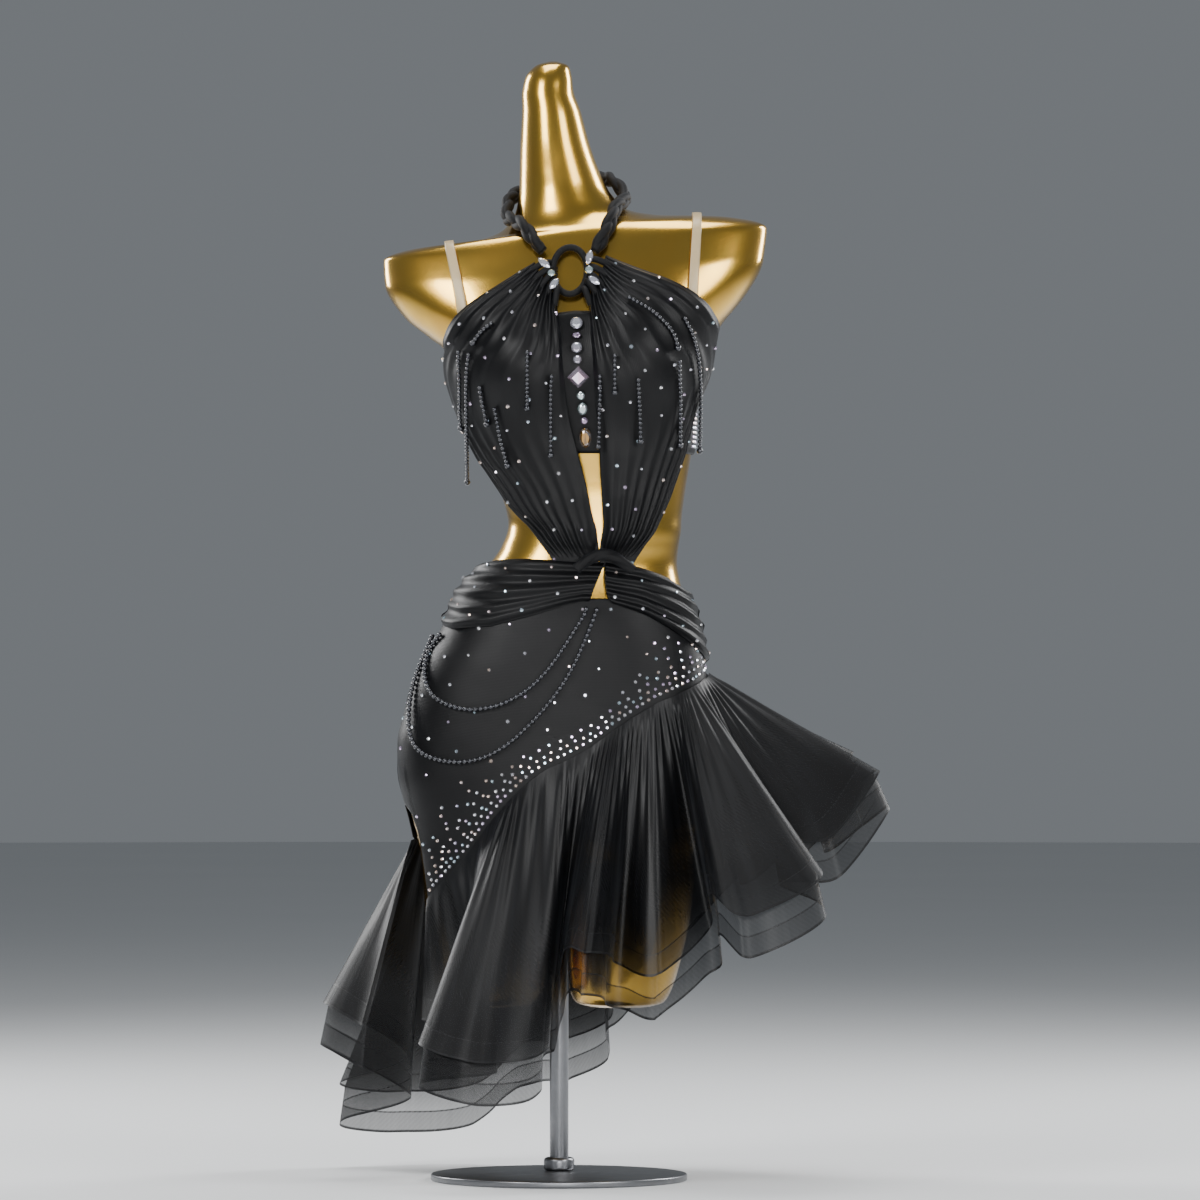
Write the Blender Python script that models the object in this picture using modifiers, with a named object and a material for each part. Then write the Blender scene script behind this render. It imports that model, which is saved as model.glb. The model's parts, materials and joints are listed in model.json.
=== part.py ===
"""A salsa dance dress standing on a headless, limbless display form.

Run with: blender --background --python part.py
The tables below are in millimetres and degrees, and every mesh is made in metres, +Z up.
Main moves the finished object so that the middle of the base plate is the origin.
The front of the dress faces -Y. "Left" and "right" are the viewer's, so left is -X.
An angle round the body is 0 at the front, 90 at the right side and 180 at the back.
"""

import math
from collections import namedtuple

import bmesh
import bpy
import numpy as np
from mathutils import Matrix, Vector

MM = 0.001
NAME = "salsa_dance_dress"

# Walls and clearances
CLOTH_WALL = 1.2  # jersey, bra and yoke
SASH_WALL = 1.5
ORGANZA_WALL = 1.0  # two sheer plies and their hem band
STRAP_WALL = 1.0
SEAM_GAP_DEG = 0.15  # half of the gap at a side seam
BRA_LIFT = 3.8  # from the form to the middle of the wall
YOKE_LIFT = 3.9
SASH_LIFT = 9.9
SASH_FOLD = 3.2
STRAP_LIFT = 3.2
FLOUNCE_LIFT = 7.5

# Halter
BRAID_RADIUS = 7.5
RING_RADIUS, RING_HALF_WIDTH, RING_HALF_HEIGHT = 26.5, 20.0, 29.5
RING_TUBE = 3.5
RING_X, RING_Z, RING_LIFT = -34.5, 1057.0, 8.0

# Bead strings
SWAG_RADIUS = 2.5
FRINGE_RADIUS = 2.0

# Stand
BASE_RADIUS, BASE_HEIGHT, BASE_EDGE = 150.0, 8.0, 2.0
BASE_X, BASE_Y = -48.0, 12.0
POLE_RADIUS, POLE_Y = 11.0, 56.0
SOCKET_RADIUS, SOCKET_BOTTOM, SOCKET_TOP = 15.0, 352.0, 430.0
MEET_GAP = 0.3

# The form and the hull that the skirt hangs on. Below the crotch the hull runs round both thighs.
Section = namedtuple("Section", "z centre_x centre_y half_width front back tilt")
SECTIONS = (
    Section(1308, -55, 8, 6, 6, 6, 0.00),
    Section(1304, -56, 8, 18, 19, 19, 0.00),
    Section(1290, -60, 8, 27, 30, 30, 0.00),
    Section(1273, -61, 8, 30, 35, 36, 0.00),
    Section(1251, -57, 9, 34, 40, 41, 0.00),
    Section(1212, -53, 11, 40, 46, 47, 0.05),
    Section(1179, -48, 13, 46, 50, 51, 0.09),
    Section(1157, -44, 14, 51, 53, 54, 0.12),
    Section(1139, -41, 14, 59, 56, 57, 0.15),
    Section(1124, -40, 13, 72, 60, 60, 0.16),
    Section(1114, -36, 11, 105, 64, 63, 0.14),
    Section(1107, -33, 9, 188, 68, 67, 0.10),
    Section(1094, -29, 7, 224, 73, 72, 0.085),
    Section(1060, -30, 3, 221, 82, 80, 0.07),
    Section(1020, -30, 0, 198, 91, 86, 0.06),
    Section(994, -28, 0, 172, 95, 88, 0.05),
    Section(972, -27, 0, 153, 97, 88, 0.02),
    Section(940, -26, 0, 143, 97, 87, 0.00),
    Section(912, -24, 0, 134, 95, 85, 0.00),
    Section(854, -14, -2, 121, 88, 79, 0.00),
    Section(803, -8, -4, 107, 80, 70, 0.00),
    Section(767, -6, -5, 101, 77, 68, 0.00),
    Section(743, -11, -4, 103, 78, 71, 0.00),
    Section(722, -19, -2, 109, 80, 77, 0.00),
    Section(697, -28, 0, 122, 84, 87, 0.00),
    Section(679, -32, 1, 131, 87, 94, 0.00),
    Section(656, -34, 2, 141, 91, 102, 0.00),
    Section(632, -37, 3, 151, 94, 109, 0.00),
    Section(604, -43, 4, 161, 97, 115, 0.00),
    Section(572, -48, 5, 170, 99, 119, 0.00),
    Section(542, -51, 5, 175, 100, 120, 0.00),
    Section(512, -54, 5, 178, 100, 118, 0.00),
    Section(478, -55, 4, 177, 99, 113, 0.00),
    Section(448, -53, 3, 173, 97, 107, 0.00),
    Section(422, -51, 2, 168, 95, 101, 0.00),
    Section(392, -49, 1, 164, 92, 96, 0.00),
    Section(344, -49, 0, 159, 90, 92, 0.00),
    Section(311, -49, 0, 157, 87, 89, 0.00),
    Section(256, -52, 0, 149, 83, 85, 0.00),
    Section(205, -54, 0, 136, 75, 77, 0.00),
)
BUST_APEX_Z, BUST_HALF_SPAN, BUST_DEPTH = 952.0, 68.0, 36.0
BUST_WIDTH, BUST_HEIGHT = 42.0, 44.0
TORSO_RINGS_FROM = 392  # the torso closes just below this height
CROTCH = namedtuple("Crotch", "z scale")
CROTCH_ROWS = (CROTCH(383, 0.93), CROTCH(375, 0.78), CROTCH(370, 0.52))
FORM_COLUMNS = 34
BOXINESS = ((1060, 1120), (0.84, 1.0))  # exponent of the section's outline at these heights

# Each thigh stub is a loft of ellipses that starts inside the torso.
Thigh = namedtuple("Thigh", "z centre_x half_width depth")
LEFT_THIGH = (
    Thigh(440, -128, 54, 60),
    Thigh(392, -133, 77, 78),
    Thigh(344, -131, 75, 78),
    Thigh(311, -131, 73, 77),
    Thigh(256, -130, 69, 74),
    Thigh(222, -129, 62, 69),
    Thigh(208, -129, 52, 60),
    Thigh(204, -129, 38, 46),
)
RIGHT_THIGH = (
    Thigh(440, 32, 54, 60),
    Thigh(392, 35, 77, 78),
    Thigh(344, 34, 75, 78),
    Thigh(311, 34, 72, 77),
    Thigh(256, 28, 66, 74),
    Thigh(222, 24, 59, 69),
    Thigh(208, 23, 50, 60),
    Thigh(204, 23, 36, 46),
)
THIGH_COLUMNS = 18

# How far the front drape stands off the form at each height: it bridges from bust to waist.
DRAPE_Z = (700, 724, 738, 760, 800, 850, 900, 960, 1080)
DRAPE_LIFT = (3.6, 3.6, 6.0, 13.0, 19.0, 19.0, 13.0, 9.5, 10.0)
DRAPE_RIGHT_SHARE = 0.35  # the right side of the drape lies closer below the bust

# Bodice panels: matching points on the free outer edge and on the centre edge, top to bottom
Strand = namedtuple("Strand", "outer_x outer_z inner_x inner_z pleat")
LEFT_PANEL = (
    Strand(-76, 1071, -51, 1029, 2.6),
    Strand(-105, 1051, -46, 1000, 3.4),
    Strand(-138, 1032, -44, 976, 2.8),
    Strand(-160, 1016, -43, 956, 2.4),
    Strand(-175, 997, -42, 938, 2.0),
    Strand(-184, 972, -39, 918, 1.8),
    Strand(-182, 944, -35, 886, 1.8),
    Strand(-170, 907, -28, 854, 2.0),
    Strand(-158, 879, -19, 825, 2.4),
    Strand(-134, 833, -13, 796, 3.0),
    Strand(-111, 792, -8, 766, 3.4),
    Strand(-87, 763, -5, 749, 3.2),
    Strand(-62, 736, -4, 735, 1.4),
    Strand(-54, 722, -4, 722, 0.2),
    Strand(-50, 710, -4, 710, 0.0),
)
RIGHT_PANEL = (
    Strand(7, 1079, -12, 1028, 2.6),
    Strand(28, 1069, -12, 1000, 3.4),
    Strand(60, 1057, -10, 976, 2.8),
    Strand(98, 1044, -8, 952, 2.4),
    Strand(122, 1024, -7, 928, 2.0),
    Strand(138, 997, -5, 904, 1.8),
    Strand(139, 974, -2, 878, 1.8),
    Strand(130, 948, -1, 854, 2.0),
    Strand(117, 920, 0, 825, 2.4),
    Strand(101, 862, 2, 796, 3.0),
    Strand(90, 819, 4, 766, 3.4),
    Strand(73, 771, 4, 749, 3.2),
    Strand(48, 736, 4, 735, 1.4),
    Strand(40, 722, 4, 722, 0.2),
    Strand(36, 710, 4, 710, 0.0),
)
PANEL_PLEATS, COLUMNS_PER_PLEAT = 5, 4

# Bra band: its upper edge dips towards the back
BRA_BOTTOM = 849.0
BRA_ANGLE = (0, 30, 60, 90, 120, 180)
BRA_TOP = (1012, 1000, 972, 930, 905, 898)
BRA_COLUMNS = (*range(-90, 91, 10), 112, 134, 157, 180, 203, 226, 248)
BRA_ROWS = 9

# Sash edges round the body, and its three pieces
SASH_ANGLE = (-92, -60, -35, -15, 4, 18, 35, 55, 72, 92, 140, 180, 220, 268)
SASH_TOP = (712, 722, 725, 724, 721, 722, 715, 704, 690, 683, 700, 712, 715, 712)
SASH_BOTTOM = (649, 643, 647, 660, 681, 679, 660, 637, 620, 604, 622, 640, 648, 649)
SASH_PIECES = (
    ("sash_left", -92, 8, 10),
    ("sash_right", 18, 92, 8),
    ("sash_back", 92, 268, 12),
)
SASH_FOLDS = 3
SASH_ROWS = 9

# Skirt yoke: straight top under the sash, slit at the left side, and the diagonal seam
YOKE_TOP = 680.0
FRONT_SEAM_ANGLE = (-90, -81, -74, -70.5, -67, -61, -47, -36, -25, -15, -8, 0, 10, 18, 26, 37, 54, 72, 90)
FRONT_SEAM_Z = (440, 440, 432, 408, 333, 341, 362, 385, 417, 446, 466, 489, 510, 530, 546, 562, 576, 587, 596)
BACK_SEAM_ANGLE = (90, 120, 150, 180, 210, 240, 262, 270)
BACK_SEAM_Z = (596, 568, 520, 464, 424, 406, 402, 402)
YOKE_ROWS = 8

# Flounce hems: one row for each crest or trough, from the slit round the front, or from
# the right side seam round the back. seam is the angle at the seam where that fold starts.
Fold = namedtuple("Fold", "name seam x y z")
FOLDS = (
    Fold("slit edge, front", -66, -206, -90, 192),
    Fold("behind A", -38, -128, -128, 182),
    Fold("A left", -16, -208, -205, 172),
    Fold("A lip", -9, -140, -262, 152),
    Fold("A right", 2, -66, -226, 160),
    Fold("trough AB", 9, -56, -145, 205),
    Fold("B left", 15, -40, -208, 276),
    Fold("B lip", 19, -18, -238, 276),
    Fold("B right", 23, 8, -200, 272),
    Fold("trough BC", 28, 22, -140, 258),
    Fold("C lip", 35, 66, -180, 248),
    Fold("trough CD", 41, 128, -108, 300),
    Fold("D left", 49, 126, -202, 342),
    Fold("D lip", 54, 168, -250, 318),
    Fold("D right", 61, 256, -186, 363),
    Fold("trough DE", 70, 206, -104, 398),
    Fold("E lip", 78, 268, -96, 404),
    Fold("E", 86, 326, -22, 478),
    Fold("side seam", 91, 296, 20, 458),
    Fold("trough EF", 97, 258, 60, 430),
    Fold("F", 104, 300, 112, 500),
    Fold("trough FG", 112, 230, 150, 420),
    Fold("G", 121, 236, 190, 450),
    Fold("trough GH", 131, 170, 186, 388),
    Fold("H", 140, 167, 250, 404),
    Fold("trough HI", 150, 96, 196, 330),
    Fold("I", 158, 92, 284, 300),
    Fold("trough IJ", 168, 18, 200, 226),
    Fold("J", 176, 12, 262, 176),
    Fold("J lip", 186, -46, 296, 148),
    Fold("trough JK", 197, -90, 196, 150),
    Fold("K lip", 208, -150, 290, 96),
    Fold("K left", 219, -246, 270, 88),
    Fold("K", 230, -310, 206, 102),
    Fold("trough KL", 241, -228, 132, 140),
    Fold("L", 254, -324, 34, 206),
    Fold("slit edge, back", 266, -278, -46, 184),
)
SIDE_SEAM = 18  # the row of the side seam, where the front flounce meets the back one
STEPS_PER_FOLD = 3
UPPER_ROWS = (0.0, 0.25, 0.5, 0.75, 1.0)  # shares of the way from the seam to the upper hem
DRAPE_STEPS, DRAPE_SHARE = 8, 0.7  # steps for placing the drape's edges, and the share each corrects
NUDGE = 0.02  # step for measuring how the cloth faces
PLY_SEAM_STEPS = 0.006  # half of the gap between the front and back flounce, in folds
UNDER_LENGTH = 50.0  # how far the under ply shows below the upper one
UNDER_DOWN_SHARE = 0.6  # of that length, the share that falls straight down
PLY_GAP_SEAM, PLY_GAP_HEM = 3.4, 7.0
SEAM_BLEND = 0.35  # share of the drop over which the plies turn from seam to flute

# Routes that are read in the front view: (x, z) on the body
BRAID_LEFT = ((-66, 1079), (-76, 1091), (-88, 1104), (-100, 1119), (-107, 1138))
BRAID_RIGHT = ((22, 1142), (17, 1126), (11, 1110), (3, 1094), (-6, 1079))
BRAID_BACK_Z = ((-100, 1152), (-130, 1162), (-180, 1168), (130, 1166), (98, 1157))
BRAID_LIFT = 10.8
TWIST = ((-28, 714), (-14, 725), (3, 731), (20, 726), (38, 713))
TWIST_RADIUS, TWIST_LIFT = 6.5, 22.5
STRAPS = (("clear_strap_left", -152, -176, -122), ("clear_strap_right", 104, 113, 84))
STRAP_WIDTH = 10.5
SWAG_LIFT = 8.0
SWAGS = (
    ("swag_upper", (
        (-187, 638), (-197, 624), (-203, 608), (-204, 590), (-198, 573), (-186, 562), (-166, 554),
        (-144, 552), (-118, 557), (-96, 567), (-78, 580), (-63, 595), (-50, 612), (-38, 630),
        (-28, 646), (-19, 660), (-16, 668),
    )),
    ("swag_lower", (
        (-196, 636), (-206, 612), (-216, 586), (-222, 556), (-222, 528), (-214, 508), (-196, 496),
        (-166, 491), (-136, 496), (-108, 511), (-83, 533), (-62, 556), (-44, 580), (-30, 604),
        (-20, 626), (-11, 648), (-4, 667),
    )),
)
FRINGES = (
    ((-164, 966), (-164, 950), (-163, 932), (-163, 914), (-163, 896), (-162, 878)),
    ((-152, 962), (-154, 945), (-155, 920), (-155, 893), (-155, 868), (-155, 842), (-155, 816)),
    ((-126, 998), (-138, 988), (-147, 976)),
    ((-139, 924), (-137, 910), (-134, 896), (-131, 882)),
    ((-122, 899), (-119, 884), (-116, 868), (-112, 852), (-107, 834)),
    ((-84, 964), (-84, 946), (-84, 928), (-84, 900)),
    ((-56, 936), (-57, 916), (-57, 896), (-57, 872), (-57, 846)),
    ((0, 936), (0, 914), (-1, 892), (-1, 872), (-2, 856)),
    ((17, 960), (17, 944), (17, 918)),
    ((44, 932), (45, 912), (46, 890), (47, 862)),
    ((34, 1028), (58, 1014), (76, 998), (86, 984), (90, 970)),
    ((92, 954), (92, 936), (93, 914), (93, 890), (93, 858)),
    ((98, 1004), (107, 986), (113, 964), (116, 940), (117, 918), (117, 896), (116, 852)),
)
FRINGE_LIFT = 8.5  # above the middle of the drape

Stone = namedtuple("Stone", "name x z width height cut turn colour")
CLEAR, ROSE, GREEN, VIOLET, AMBER = (
    (0.86, 0.88, 0.92), (0.88, 0.70, 0.84), (0.62, 0.84, 0.76), (0.42, 0.16, 0.42), (0.72, 0.42, 0.12),
)
BRA_STONES = (
    Stone("stone_centre_1", -27, 996, 15, 15, "round", 0, CLEAR),
    Stone("stone_centre_2", -27, 982, 10, 7, "oval", 0, VIOLET),
    Stone("stone_centre_3", -27, 969, 13, 13, "round", 0, CLEAR),
    Stone("stone_centre_4", -26, 956, 10, 10, "round", 0, CLEAR),
    Stone("stone_centre_5", -25, 937, 26, 26, "square", 45, ROSE),
    Stone("stone_centre_6", -22, 917, 10, 10, "round", 0, GREEN),
    Stone("stone_centre_7", -20, 902, 12, 15, "oval", 0, GREEN),
    Stone("stone_centre_8", -18, 888, 9, 9, "round", 0, VIOLET),
    Stone("stone_centre_9", -17, 868, 15, 24, "oval", 0, AMBER),
)
RING_STONES = (
    Stone("stone_ring_left_1", -64, 1062, 9, 19, "marquise", 48, CLEAR),
    Stone("stone_ring_left_2", -56, 1050, 9, 9, "round", 0, GREEN),
    Stone("stone_ring_left_3", -53, 1037, 9, 17, "marquise", -35, CLEAR),
    Stone("stone_ring_right_1", -12, 1069, 9, 19, "marquise", -12, CLEAR),
    Stone("stone_ring_right_2", -12, 1054, 10, 10, "round", 0, GREEN),
    Stone("stone_ring_right_3", -6, 1041, 9, 17, "marquise", 52, CLEAR),
)
STONE_SIDES, STONE_DEPTH_SHARE, STONE_TABLE_SHARE = 10, 0.36, 0.55
BRA_STONE_LIFT, RING_STONE_LIFT = 7.0, 17.0

# Materials: base colour, roughness, metallic
GOLD = ((0.62, 0.38, 0.07), 0.22, 1.0)
STEEL = ((0.45, 0.45, 0.46), 0.3, 1.0)
JERSEY = ((0.006, 0.006, 0.007), 0.62, 0.0)
ORGANZA = ((0.02, 0.021, 0.023), 0.5, 0.0)
BEADS = ((0.008, 0.008, 0.009), 0.15, 0.0)
CLEAR_STRAP = ((0.80, 0.72, 0.62), 0.25, 0.0)


# ---------------------------------------------------------------- the body and its surface


def limited_slopes(values):
    """Slopes of a curve through evenly stepped values that never overshoots them."""
    steps = np.diff(values, axis=0)
    before = np.concatenate([steps[:1], steps])
    after = np.concatenate([steps, steps[-1:]])
    same = before * after > 0
    total = np.where(same, before + after, 1.0)
    return np.where(same, 2 * before * after / total, 0.0)


def smooth_rows(rows, per_step):
    """The rows with per_step steps between each two, along a curve with no overshoot."""
    rows = np.array(rows, float)
    slopes = limited_slopes(rows)
    found = []
    for i in range(len(rows) - 1):
        for t in np.arange(per_step) / per_step:
            rise = 3 * t**2 - 2 * t**3
            found.append(
                rows[i] * (1 - rise)
                + rows[i + 1] * rise
                + slopes[i] * (t**3 - 2 * t**2 + t)
                + slopes[i + 1] * (t**3 - t**2)
            )
    return np.array(found + [rows[-1]])


DENSE = smooth_rows(SECTIONS, 24)[::-1]


def section_at(z):
    """centre_x, centre_y, half_width, front, back and tilt of the body at height z."""
    return [np.interp(z, DENSE[:, 0], DENSE[:, k]) for k in range(1, 7)]


def surface(z, angle):
    """The points of the bare body at these heights and angles in degrees."""
    centre_x, centre_y, half_width, front, back, tilt = section_at(z)
    turn = np.radians(angle)
    power = np.interp(z, *BOXINESS)
    across, ahead = (np.sign(part) * np.abs(part) ** power for part in (np.sin(turn), np.cos(turn)))
    x = centre_x + half_width * across
    y = centre_y - np.where(ahead > 0, front, back) * ahead
    y = y - bust(x - centre_x, z) * np.clip(2.5 * ahead, 0, 1)
    return np.stack([x, y, z + tilt * (x - centre_x)], axis=-1)


def bust(off_centre, z):
    """How far the bust stands forward, this far to the side of the centre."""
    swell = 0
    for side in (-1, 1):
        across = (off_centre - side * BUST_HALF_SPAN) / BUST_WIDTH
        upright = (z - BUST_APEX_Z) / BUST_HEIGHT
        swell = swell + BUST_DEPTH * np.exp(-(across**2 + upright**2) / 2)
    return swell


def normal_at(z, angle):
    """The unit normal of the body, pointing out."""
    along = surface(z, angle + 0.5) - surface(z, angle - 0.5)
    up = surface(z + 0.5, angle) - surface(z - 0.5, angle)
    normal = np.cross(along, up)
    return normal / np.linalg.norm(normal, axis=-1, keepdims=True)


def lifted(z, angle, lift):
    """Points that far off the body."""
    z, angle, lift = np.broadcast_arrays(
        np.asarray(z, float), np.asarray(angle, float), np.asarray(lift, float)
    )
    return surface(z, angle) + normal_at(z, angle) * lift[..., None]


def place_in_front(x, z):
    """The height and angle of the front point that is seen at x and z from the front."""
    x, z = np.asarray(x, float), np.asarray(z, float)
    level = z
    for _ in range(30):
        centre_x, _, half_width, _, _, tilt = section_at(level)
        reach = np.clip(x - centre_x, -half_width, half_width)
        level = z - tilt * reach
    return level, np.clip(angle_at(x, level), -88, 88)


def drape_lift(z, angle):
    """How far the bodice drape stands off the form."""
    lift = np.interp(z, DRAPE_Z, DRAPE_LIFT)
    nearest = np.interp(z, DRAPE_Z, np.minimum(DRAPE_LIFT, 9.0))
    share = 1 - (1 - DRAPE_RIGHT_SHARE) * np.clip((angle - 10) / 50, 0, 1)
    return nearest + (lift - nearest) * share


def front_points(route, lift):
    """Points over the body for a route of (x, z) pairs in the front view.

    A point past the side of the body hangs free, level with the body's middle.
    """
    x, z = np.array(route, float).T
    level, _ = place_in_front(x, z)
    centre_x, centre_y, half_width, front, _, _ = section_at(level)
    share = np.clip(np.abs(x - centre_x) / (half_width + lift), 0, 1)
    power = np.interp(level, *BOXINESS)
    ahead = np.sqrt(1 - share ** (2 / power)) ** power
    y = centre_y - (front + lift) * ahead - bust(x - centre_x, level) * np.clip(2.5 * ahead, 0, 1)
    return np.stack([x, y, z], axis=-1)


# ---------------------------------------------------------------- Blender helpers


def clear_scene():
    for item in list(bpy.data.objects):
        bpy.data.objects.remove(item, do_unlink=True)


def new_collection(name):
    collection = bpy.data.collections.new(name)
    bpy.context.scene.collection.children.link(collection)
    return collection


def material(name, finish):
    colour, roughness, metallic = finish
    made = bpy.data.materials.new(name)
    made.use_nodes = True
    shader = made.node_tree.nodes["Principled BSDF"]
    shader.inputs["Base Color"].default_value = (*colour, 1.0)
    shader.inputs["Roughness"].default_value = roughness
    shader.inputs["Metallic"].default_value = metallic
    return made


def mesh_object(name, points, faces, finish, collection):
    """A mesh object from points in millimetres."""
    mesh = bpy.data.meshes.new(name)
    mesh.from_pydata((np.asarray(points) * MM).tolist(), [], faces)
    mesh.materials.append(material(name, finish))
    mesh.shade_smooth()
    mesh.set_sharp_from_angle(angle=math.radians(50))
    made = bpy.data.objects.new(name, mesh)
    collection.objects.link(made)
    return made


def move_to(item, collection):
    """Takes an object out of the collections it is in and puts it in this one."""
    for old in list(item.users_collection):
        old.objects.unlink(item)
    collection.objects.link(item)


def grid_faces(rows, columns, closed):
    """Quads of a grid whose rows go down and whose columns go round the body, facing out."""
    faces = []
    for i in range(rows - 1):
        for j in range(columns if closed else columns - 1):
            k = (j + 1) % columns
            faces.append((i * columns + j, (i + 1) * columns + j, (i + 1) * columns + k, i * columns + k))
    return faces


def cloth(name, grid, wall, finish, collection, closed=False):
    """A wall of cloth on a grid of points: an open surface with Solidify."""
    rows, columns = grid.shape[:2]
    faces = grid_faces(rows, columns, closed)
    made = mesh_object(name, grid.reshape(-1, 3), faces, finish, collection)
    solidify = made.modifiers.new("wall", "SOLIDIFY")
    solidify.thickness = wall * MM
    solidify.offset = 0.0
    return made


def capped_loft(name, rings, finish, collection):
    """A closed solid through rings of points, listed from the top down."""
    rings = np.asarray(rings)
    rows, columns = rings.shape[:2]
    faces = grid_faces(rows, columns, True)
    faces.append(tuple(range(columns)))
    faces.append(tuple(range((rows - 1) * columns, rows * columns))[::-1])
    made = mesh_object(name, rings.reshape(-1, 3), faces, finish, collection)
    bm = bmesh.new()
    bm.from_mesh(made.data)
    bmesh.ops.recalc_face_normals(bm, faces=bm.faces)
    bm.to_mesh(made.data)
    bm.free()
    return made


def tube(name, points, radius, finish, collection, sides=2):
    """A tube along points in millimetres: a POLY curve with filled caps."""
    curve = bpy.data.curves.new(name, "CURVE")
    curve.dimensions = "3D"
    curve.bevel_depth = radius * MM
    curve.bevel_resolution = sides
    curve.use_fill_caps = True
    spline = curve.splines.new("POLY")
    spline.points.add(len(points) - 1)
    for target, point in zip(spline.points, np.asarray(points) * MM):
        target.co = (*point, 1.0)
    curve.materials.append(material(name, finish))
    made = bpy.data.objects.new(name, curve)
    collection.objects.link(made)
    return made


def smooth_path(points, spacing):
    """Evenly spaced points along a Catmull-Rom curve through the given ones."""
    points = np.array(points, float)
    ends = np.vstack([2 * points[0] - points[1], points, 2 * points[-1] - points[-2]])
    fine = []
    for a, b, c, d in zip(ends, ends[1:], ends[2:], ends[3:]):
        for t in np.linspace(0, 1, 24, endpoint=False):
            fine.append(
                0.5 * (2 * b + (c - a) * t + (2 * a - 5 * b + 4 * c - d) * t**2
                       + (3 * b - a - 3 * c + d) * t**3)
            )
    fine = np.array(fine + [points[-1]])
    run = np.concatenate([[0], np.cumsum(np.linalg.norm(np.diff(fine, axis=0), axis=1))])
    wanted = np.linspace(0, run[-1], max(int(round(run[-1] / spacing)) + 1, 3))
    return np.stack([np.interp(wanted, run, fine[:, k]) for k in range(3)], axis=-1)


# ---------------------------------------------------------------- the form and its stand


def ellipse_ring(z, centre_x, half_width, depth, columns):
    turn = np.linspace(0, 2 * math.pi, columns, endpoint=False)
    x = centre_x + half_width * np.sin(turn)
    return np.stack([x, -depth * np.cos(turn), np.full(columns, float(z))], axis=-1)


def build_form(parts, cutters):
    """The torso, with the thigh stubs and the pole's socket joined to it."""
    angles = np.linspace(0, 360, FORM_COLUMNS, endpoint=False)
    heights = [row.z for row in SECTIONS if row.z >= TORSO_RINGS_FROM]
    heights += [1040, 1007, 983, 960, 926, 898, 884, 869, 828]
    rings = [surface(np.full(FORM_COLUMNS, float(z)), angles) for z in sorted(heights, reverse=True)]
    last = rings[-1]
    middle = last.mean(axis=0)
    for row in CROTCH_ROWS:
        ring = middle + (last - middle) * row.scale
        ring[:, 2] = row.z
        rings.append(ring)
    form = capped_loft("form_torso", rings, GOLD, parts)
    added = [
        capped_loft(
            name,
            [ellipse_ring(row.z, row.centre_x, row.half_width, row.depth, THIGH_COLUMNS) for row in rows],
            GOLD,
            cutters,
        )
        for name, rows in (("thigh_left", LEFT_THIGH), ("thigh_right", RIGHT_THIGH))
    ]
    bpy.ops.mesh.primitive_cylinder_add(
        vertices=20,
        radius=SOCKET_RADIUS * MM,
        depth=(SOCKET_TOP - SOCKET_BOTTOM) * MM,
        location=(BASE_X * MM, POLE_Y * MM, (SOCKET_TOP + SOCKET_BOTTOM) / 2 * MM),
    )
    socket = bpy.context.object
    socket.name = "socket"
    move_to(socket, cutters)
    added.append(socket)
    for piece in added:
        piece.hide_render = True
        piece.display_type = "WIRE"
        union = form.modifiers.new("join_" + piece.name, "BOOLEAN")
        union.operation = "UNION"
        union.object = piece
    return form


def build_stand(parts):
    """A plain pole and a round base plate."""
    length = SOCKET_BOTTOM - BASE_HEIGHT - 2 * MEET_GAP
    bpy.ops.mesh.primitive_cylinder_add(
        vertices=20,
        radius=POLE_RADIUS * MM,
        depth=length * MM,
        location=(BASE_X * MM, POLE_Y * MM, (BASE_HEIGHT + MEET_GAP + length / 2) * MM),
    )
    pole = bpy.context.object
    pole.name = "stand_pole"
    bpy.ops.mesh.primitive_cylinder_add(
        vertices=40,
        radius=BASE_RADIUS * MM,
        depth=BASE_HEIGHT * MM,
        location=(BASE_X * MM, BASE_Y * MM, BASE_HEIGHT / 2 * MM),
    )
    base = bpy.context.object
    base.name = "stand_base"
    bevel = base.modifiers.new("edge", "BEVEL")
    bevel.width = BASE_EDGE * MM
    bevel.segments = 1
    bevel.limit_method = "ANGLE"
    for piece in (pole, base):
        piece.data.materials.append(material(piece.name, STEEL))
        move_to(piece, parts)


# ---------------------------------------------------------------- the bodice


def place_under_drape(x, z):
    """The point of the body from which the lifted drape is seen at x and z."""
    at_x, at_z = x, z
    for _ in range(DRAPE_STEPS):
        level, angle = place_in_front(at_x, at_z)
        seen = lifted(level, angle, drape_lift(level, angle))
        at_x = at_x + DRAPE_SHARE * (x - seen[:, 0])
        at_z = at_z + DRAPE_SHARE * (z - seen[:, 2])
    return place_in_front(at_x, at_z)


def build_panel(name, rows, parts):
    """A gathered bodice panel. Its strands run from the ring over the bust to the twist."""
    outer_x, outer_z, inner_x, inner_z, pleat = np.array(rows, float).T
    outer_level, outer_angle = place_under_drape(outer_x, outer_z)
    inner_level, inner_angle = place_under_drape(inner_x, inner_z)
    share = np.linspace(0, 1, PANEL_PLEATS * COLUMNS_PER_PLEAT + 1)
    if outer_angle[4] < inner_angle[4]:
        share = 1 - share
    level = inner_level[:, None] + (outer_level - inner_level)[:, None] * share
    angle = inner_angle[:, None] + (outer_angle - inner_angle)[:, None] * share
    ridge = 0.5 - 0.5 * np.cos(2 * math.pi * PANEL_PLEATS * share)
    lift = drape_lift(level, angle) + pleat[:, None] * ridge
    return cloth(name, lifted(level, angle, lift), CLOTH_WALL, JERSEY, parts)


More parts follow.
